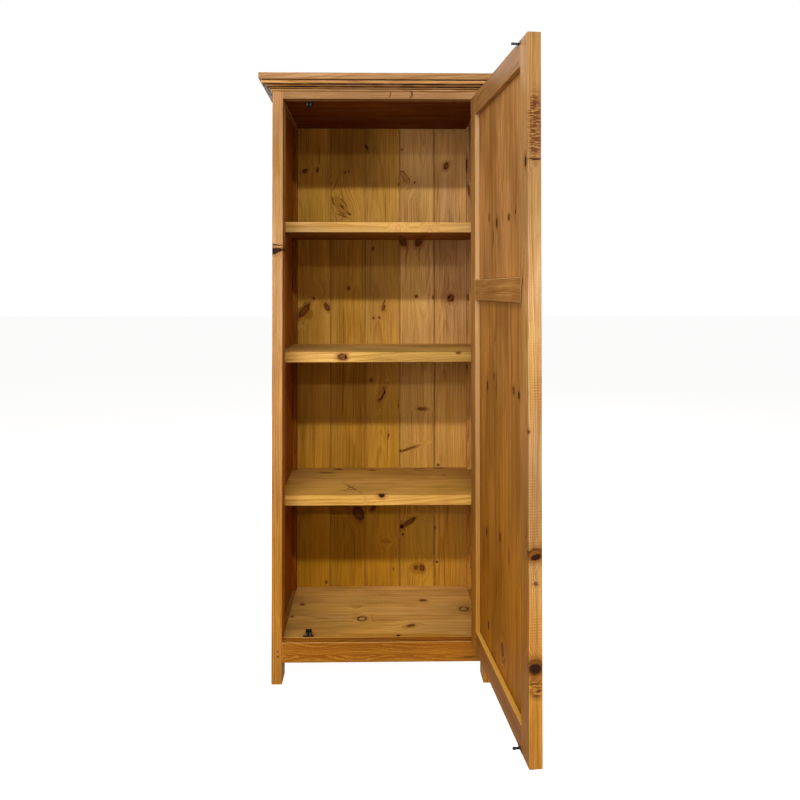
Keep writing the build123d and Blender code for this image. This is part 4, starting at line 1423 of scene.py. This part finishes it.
# ---------------------------------------------------------------- hardware
@dataclass
class Screw:
    """A countersunk screw with a cross recess, shaped round its tip-to-head line.

    Attributes:
        centre: Middle of the head's flat face, in metres.
        out: Direction the head faces.
        head: Radius of the head.
        shank: Radius of the shank.
        flare: Height of the cone under the head.
        length: Whole length.
        sides: Faces round the head.
        recess: Reach of the recess's arms, against the head's radius.
        recess_depth: Depth of the recess, against the head's radius.
        arm_width: Width of an arm, against its reach.
        taper: How much narrower the recess is at its foot.
    """

    centre: Vector
    out: Vector
    head: float
    shank: float
    flare: float
    length: float
    sides: int = 24
    recess: float = 0.62
    recess_depth: float = 0.45
    arm_width: float = 0.45
    taper: float = 0.7

    @classmethod
    def from_solid(cls, verts: list[bmesh.types.BMVert], out: Vector) -> "Screw":
        """Measure a screw on one loose part of a solid's mesh.

        Args:
            verts: The vertices of that part.
            out: Direction the head faces.

        Returns:
            The screw.
        """
        heights = [vert.co.dot(out) for vert in verts]
        top, bottom = max(heights), min(heights)
        rim = [vert.co for vert, height in zip(verts, heights) if height > top - FLUSH]
        foot = [vert.co for vert, height in zip(verts, heights) if height < bottom + FLUSH]
        centre = sum(rim, Vector()) / len(rim)
        axis = sum(foot, Vector()) / len(foot)
        head = max((point - centre).length for point in rim)
        shank = max((point - axis).length for point in foot)
        return cls(centre, out, head, shank, head - shank, top - bottom)

    def build(self, mesh: bmesh.types.BMesh) -> None:
        """Add the screw to a mesh: head with recess, cone, shank.

        Args:
            mesh: The mesh.
        """
        arm = self.head * self.recess
        tip = arm * 0.9
        made = bmesh.ops.create_grid(mesh, x_segments=3, y_segments=3, size=arm)
        corners = [vert for vert in made["verts"] if min(abs(vert.co.x), abs(vert.co.y)) > tip]
        bmesh.ops.delete(mesh, geom=corners, context="VERTS")
        cross = [vert for vert in made["verts"] if vert.is_valid]
        for vert in cross:
            vert.co.x *= 1.0 if abs(vert.co.x) > tip else self.arm_width
            vert.co.y *= 1.0 if abs(vert.co.y) > tip else self.arm_width
        own = list(cross)
        border = [edge for vert in cross for edge in vert.link_edges if edge.is_boundary]
        lip = self.pull(mesh, border, own, 0.0)
        for vert in cross:
            vert.co = Vector((vert.co.x * self.taper, vert.co.y * self.taper, -self.head * self.recess_depth))
        ring = bmesh.ops.create_circle(mesh, segments=self.sides, radius=self.head)["verts"]
        own.extend(ring)
        rim = list(dict.fromkeys(edge for vert in ring for edge in vert.link_edges))
        bmesh.ops.bridge_loops(mesh, edges=lip + rim)
        for height, radius in ((-self.flare, self.shank), (-self.length, self.shank)):
            rim = self.pull(mesh, rim, own, height, radius)
        bmesh.ops.edgeloop_fill(mesh, edges=rim)
        spot = Matrix.Translation(self.centre) @ self.out.to_track_quat("Z", "Y").to_matrix().to_4x4()
        bmesh.ops.transform(mesh, matrix=spot, verts=own)

    @staticmethod
    def pull(mesh: bmesh.types.BMesh, edges: list[bmesh.types.BMEdge], own: list[bmesh.types.BMVert],
             height: float, radius: float | None = None) -> list[bmesh.types.BMEdge]:
        """Extrude a loop of edges to a height and, if given, to a radius round the axis.

        Args:
            mesh: The mesh.
            edges: The loop.
            own: The screw's vertices, to which the new ones are added.
            height: Where the new loop lies.
            radius: Its radius, or None to keep its outline.

        Returns:
            The new loop's edges.
        """
        made = bmesh.ops.extrude_edge_only(mesh, edges=list(dict.fromkeys(edges)))["geom"]
        verts = [item for item in made if isinstance(item, bmesh.types.BMVert)]
        for vert in verts:
            flat = Vector((vert.co.x, vert.co.y, 0.0))
            flat = flat if radius is None else flat.normalized() * radius
            vert.co = Vector((flat.x, flat.y, height))
        own.extend(verts)
        return [item for item in made if isinstance(item, bmesh.types.BMEdge) and item.is_boundary
                and all(vert in verts for vert in item.verts)]


@dataclass
class Hardware:
    """Hinges, catches, strikes and their screws.

    Attributes:
        axes: The cabinet's directions.
        ease: How far the rounding of a metal edge reaches, in metres.
        shortest_edge: Edges shorter than this stay sharp.
        hinge_steel: Finish of the hinges.
        catch_steel: Finish of the catches and strikes.
        screw_steel: Finish of the screws.
        nylon: Finish of the rollers.
    """

    axes: CabinetAxes
    ease: float = 0.00022
    shortest_edge: float = 0.0009
    hinge_steel: SteelFinish = SteelFinish(base=(0.055, 0.045, 0.036), worn=(0.30, 0.25, 0.18))
    catch_steel: SteelFinish = SteelFinish()
    screw_steel: SteelFinish = SteelFinish(base=(0.040, 0.034, 0.030), worn=(0.34, 0.30, 0.25))
    nylon: NylonFinish = NylonFinish()

    def head_direction(self, node: str, place: Vector) -> Vector:
        """Where the heads of a node's screws face.

        Args:
            node: Name of the solid.
            place: Where the screw is.

        Returns:
            The direction.
        """
        if node == "catch_screws":
            return Vector((0.0, 0.0, 1.0 if place.z < CATCH_DIVIDE else -1.0))
        return {
            "hinge_screws_post": Vector((-1.0, 0.0, 0.0)),
            "hinge_screws_door": -self.axes.along_door,
            "strike_screws": -self.axes.out_of_door,
        }[node]

    def build_screws(self, node: str, material: bpy.types.Material) -> bpy.types.Object:
        """Replace one node's screws by detailed ones.

        Args:
            node: Name of the solid.
            material: Their finish.

        Returns:
            The piece.
        """
        solid = solid_copy(node)
        mesh = bmesh.new()
        left = dict.fromkeys(solid.verts)
        count = 0
        while left:
            part = [left.popitem()[0]]
            for vert in part:
                near = [edge.other_vert(vert) for edge in vert.link_edges if edge.other_vert(vert) in left]
                for other in near:
                    del left[other]
                part.extend(near)
            Screw.from_solid(part, self.head_direction(node, part[0].co)).build(mesh)
            count += 1
        solid.free()
        # the extrusions above give edges and faces in any order, so put them into one
        mesh.verts.index_update()
        for items in (mesh.edges, mesh.faces):
            items.sort(key=lambda item: sum(vert.index ** 3 for vert in item.verts))
        bmesh.ops.recalc_face_normals(mesh, faces=mesh.faces)
        LOG.info("%s: %d screws", node, count)
        return stand_in(new_piece(node + "_steel", mesh, material), node)

    def build(self) -> list[bpy.types.Object]:
        """Ease and dress every metal and nylon solid.

        Returns:
            The pieces.
        """
        by_slot = {
            "hinge_steel": steel_material("hinge_steel", self.hinge_steel),
            "black_steel": steel_material("catch_steel", self.catch_steel),
            "screw_steel": steel_material("screw_steel", self.screw_steel),
            "nylon": nylon_material("roller_nylon", self.nylon),
        }
        pieces = []
        for name in sorted(frame["nodes"]):
            slot = slot_of_node(name)
            if slot == "screw_steel":
                pieces.append(self.build_screws(name, by_slot[slot]))
            elif slot in by_slot:
                mesh = eased_copy(name, self.ease, self.shortest_edge)
                pieces.append(stand_in(new_piece(name + "_metal", mesh, by_slot[slot]), name))
                LOG.info("%s: %d faces", name, len(pieces[-1].data.polygons))
        return pieces


# ---------------------------------------------------------------- studio
@dataclass
class Lamp:
    """One soft panel of light.

    Attributes:
        name: Its name.
        place: Where it hangs, in metres.
        aim: What it faces; without one it shines straight down.
        size: Its two sides.
        power: Its power, in watts.
    """

    name: str
    place: Place
    aim: Place | None = None
    size: tuple[float, float] = (4.0, 0.30)
    power: float = 292.0

    def build(self) -> bpy.types.Object:
        """Hang the lamp.

        Returns:
            The lamp.
        """
        data = bpy.data.lights.new(self.name, "AREA")
        data.shape = "RECTANGLE"
        data.size, data.size_y = self.size
        data.energy = self.power
        lamp = bpy.data.objects.new(self.name, data)
        lamp.location = self.place
        if self.aim is not None:
            towards = Vector(self.aim) - Vector(self.place)
            lamp.rotation_euler = towards.to_track_quat("-Z", "Y").to_euler()
        bpy.context.scene.collection.objects.link(lamp)
        return lamp


@dataclass
class Studio:
    """Pale floor, lamps, soft sky and the camera.

    Attributes:
        floor_size: Side of the square floor, in metres.
        floor_colour: What the floor throws back at the cabinet.
        floor_lift: White that the camera sees over the floor's own shade.
        sky: Strength of the soft light from all round.
        lamps: Two panels overhead, a window on the left, and two fills for the right side and the back.
        lens: Focal length, in mm.
        sensor: Width of the camera's sensor, in mm.
        sight: Nearest and farthest that the camera sees, in metres.
        eye: Where the camera stands.
        gaze: Its turn, in degrees.
        shift: Its shift across and up.
    """

    floor_size: float = 60.0
    floor_colour: Colour = (0.34, 0.30, 0.26)
    floor_lift: float = 0.94
    sky: float = 0.05
    lamps: tuple[Lamp, ...] = (
        Lamp("near_lamp", (-0.5, -3.42, 3.54)),
        Lamp("far_lamp", (-0.5, -7.7, 3.47)),
        Lamp("window", (-3.2, -3.6, 1.7), (0.0, 0.2, 0.9), (1.8, 1.8), 84.0),
        Lamp("right_fill", (3.6, 1.4, 2.0), (0.3, 0.0, 0.9), (2.0, 2.0), 110.0),
        Lamp("back_fill", (-1.5, 4.0, 2.2), (0.0, 0.4, 0.9), (2.4, 2.4), 150.0),
    )
    lens: float = 33.552
    sensor: float = 36.0
    sight: tuple[float, float] = (0.05, 200.0)
    eye: Place = (-0.0178, -2.1672, 1.1839)
    gaze: Place = (90.7276, 0.0, -0.9626)
    shift: tuple[float, float] = (0.0131, -0.1506)

    @staticmethod
    def background_rays(nodes: NodeTree) -> Socket:
        """1 for the rays that see the background as such, 0 for the light that falls on the cabinet.

        Args:
            nodes: The tree that asks.

        Returns:
            The value.
        """
        path = nodes.add("LightPath").outputs
        seen = nodes.math("MAXIMUM", path["Is Camera Ray"], path["Is Glossy Ray"])
        return nodes.math("MAXIMUM", seen, path["Is Transmission Ray"])

    def build_floor(self) -> bpy.types.Object:
        """Lay the floor, white to the camera but for the cabinet's shadow.

        Returns:
            The floor.
        """
        nodes = NodeTree(bpy.data.materials.new("studio_floor"))
        lift = nodes.math("MULTIPLY", self.background_rays(nodes), self.floor_lift)
        base = nodes.add("BsdfDiffuse", {"Color": self.floor_colour})
        glow = nodes.add("Emission", {"Color": WHITE, "Strength": lift})
        both = nodes.add("AddShader", {0: base.outputs[0], 1: glow.outputs[0]})
        mesh = bmesh.new()
        bmesh.ops.create_grid(mesh, x_segments=1, y_segments=1, size=self.floor_size / 2)
        floor = new_piece("studio_floor", mesh, nodes.close(both))
        return floor

    def build_sky(self) -> None:
        """Soft light from all round; the camera sees plain white."""
        nodes = NodeTree(bpy.data.worlds.new("studio_sky"))
        strength = nodes.math("MULTIPLY_ADD", self.background_rays(nodes), 1.0 - self.sky, self.sky)
        background = nodes.add("Background", {"Color": WHITE, "Strength": strength})
        bpy.context.scene.world = nodes.close(background)

    def build_camera(self) -> bpy.types.Object:
        """Stand the camera in front of the cabinet.

        Returns:
            The camera.
        """
        data = bpy.data.cameras.new("studio_camera")
        data.lens = self.lens
        data.sensor_width = self.sensor
        data.shift_x, data.shift_y = self.shift
        data.clip_start, data.clip_end = self.sight
        camera = bpy.data.objects.new("studio_camera", data)
        camera.location = self.eye
        camera.rotation_euler = [math.radians(value) for value in self.gaze]
        bpy.context.scene.collection.objects.link(camera)
        bpy.context.scene.camera = camera
        return camera

    def build(self) -> None:
        """Set up the whole studio."""
        self.build_floor()
        self.build_sky()
        for lamp in self.lamps:
            lamp.build()
        self.build_camera()
        bpy.context.scene.view_settings.view_transform = "Standard"


def main() -> None:
    """Build and dress the cabinet, then set up the studio."""
    logging.basicConfig(level=logging.INFO, format="%(name)s: %(message)s")
    axes = CabinetAxes.from_frame()
    for kind in (Carcass, BackBoards, Shelving, CrownAndTop, InsetDoor, Hardware):
        LOG.info("building %s", kind.__name__)
        kind(axes).build()
    Studio().build()


if __name__ == "__main__":
    main()
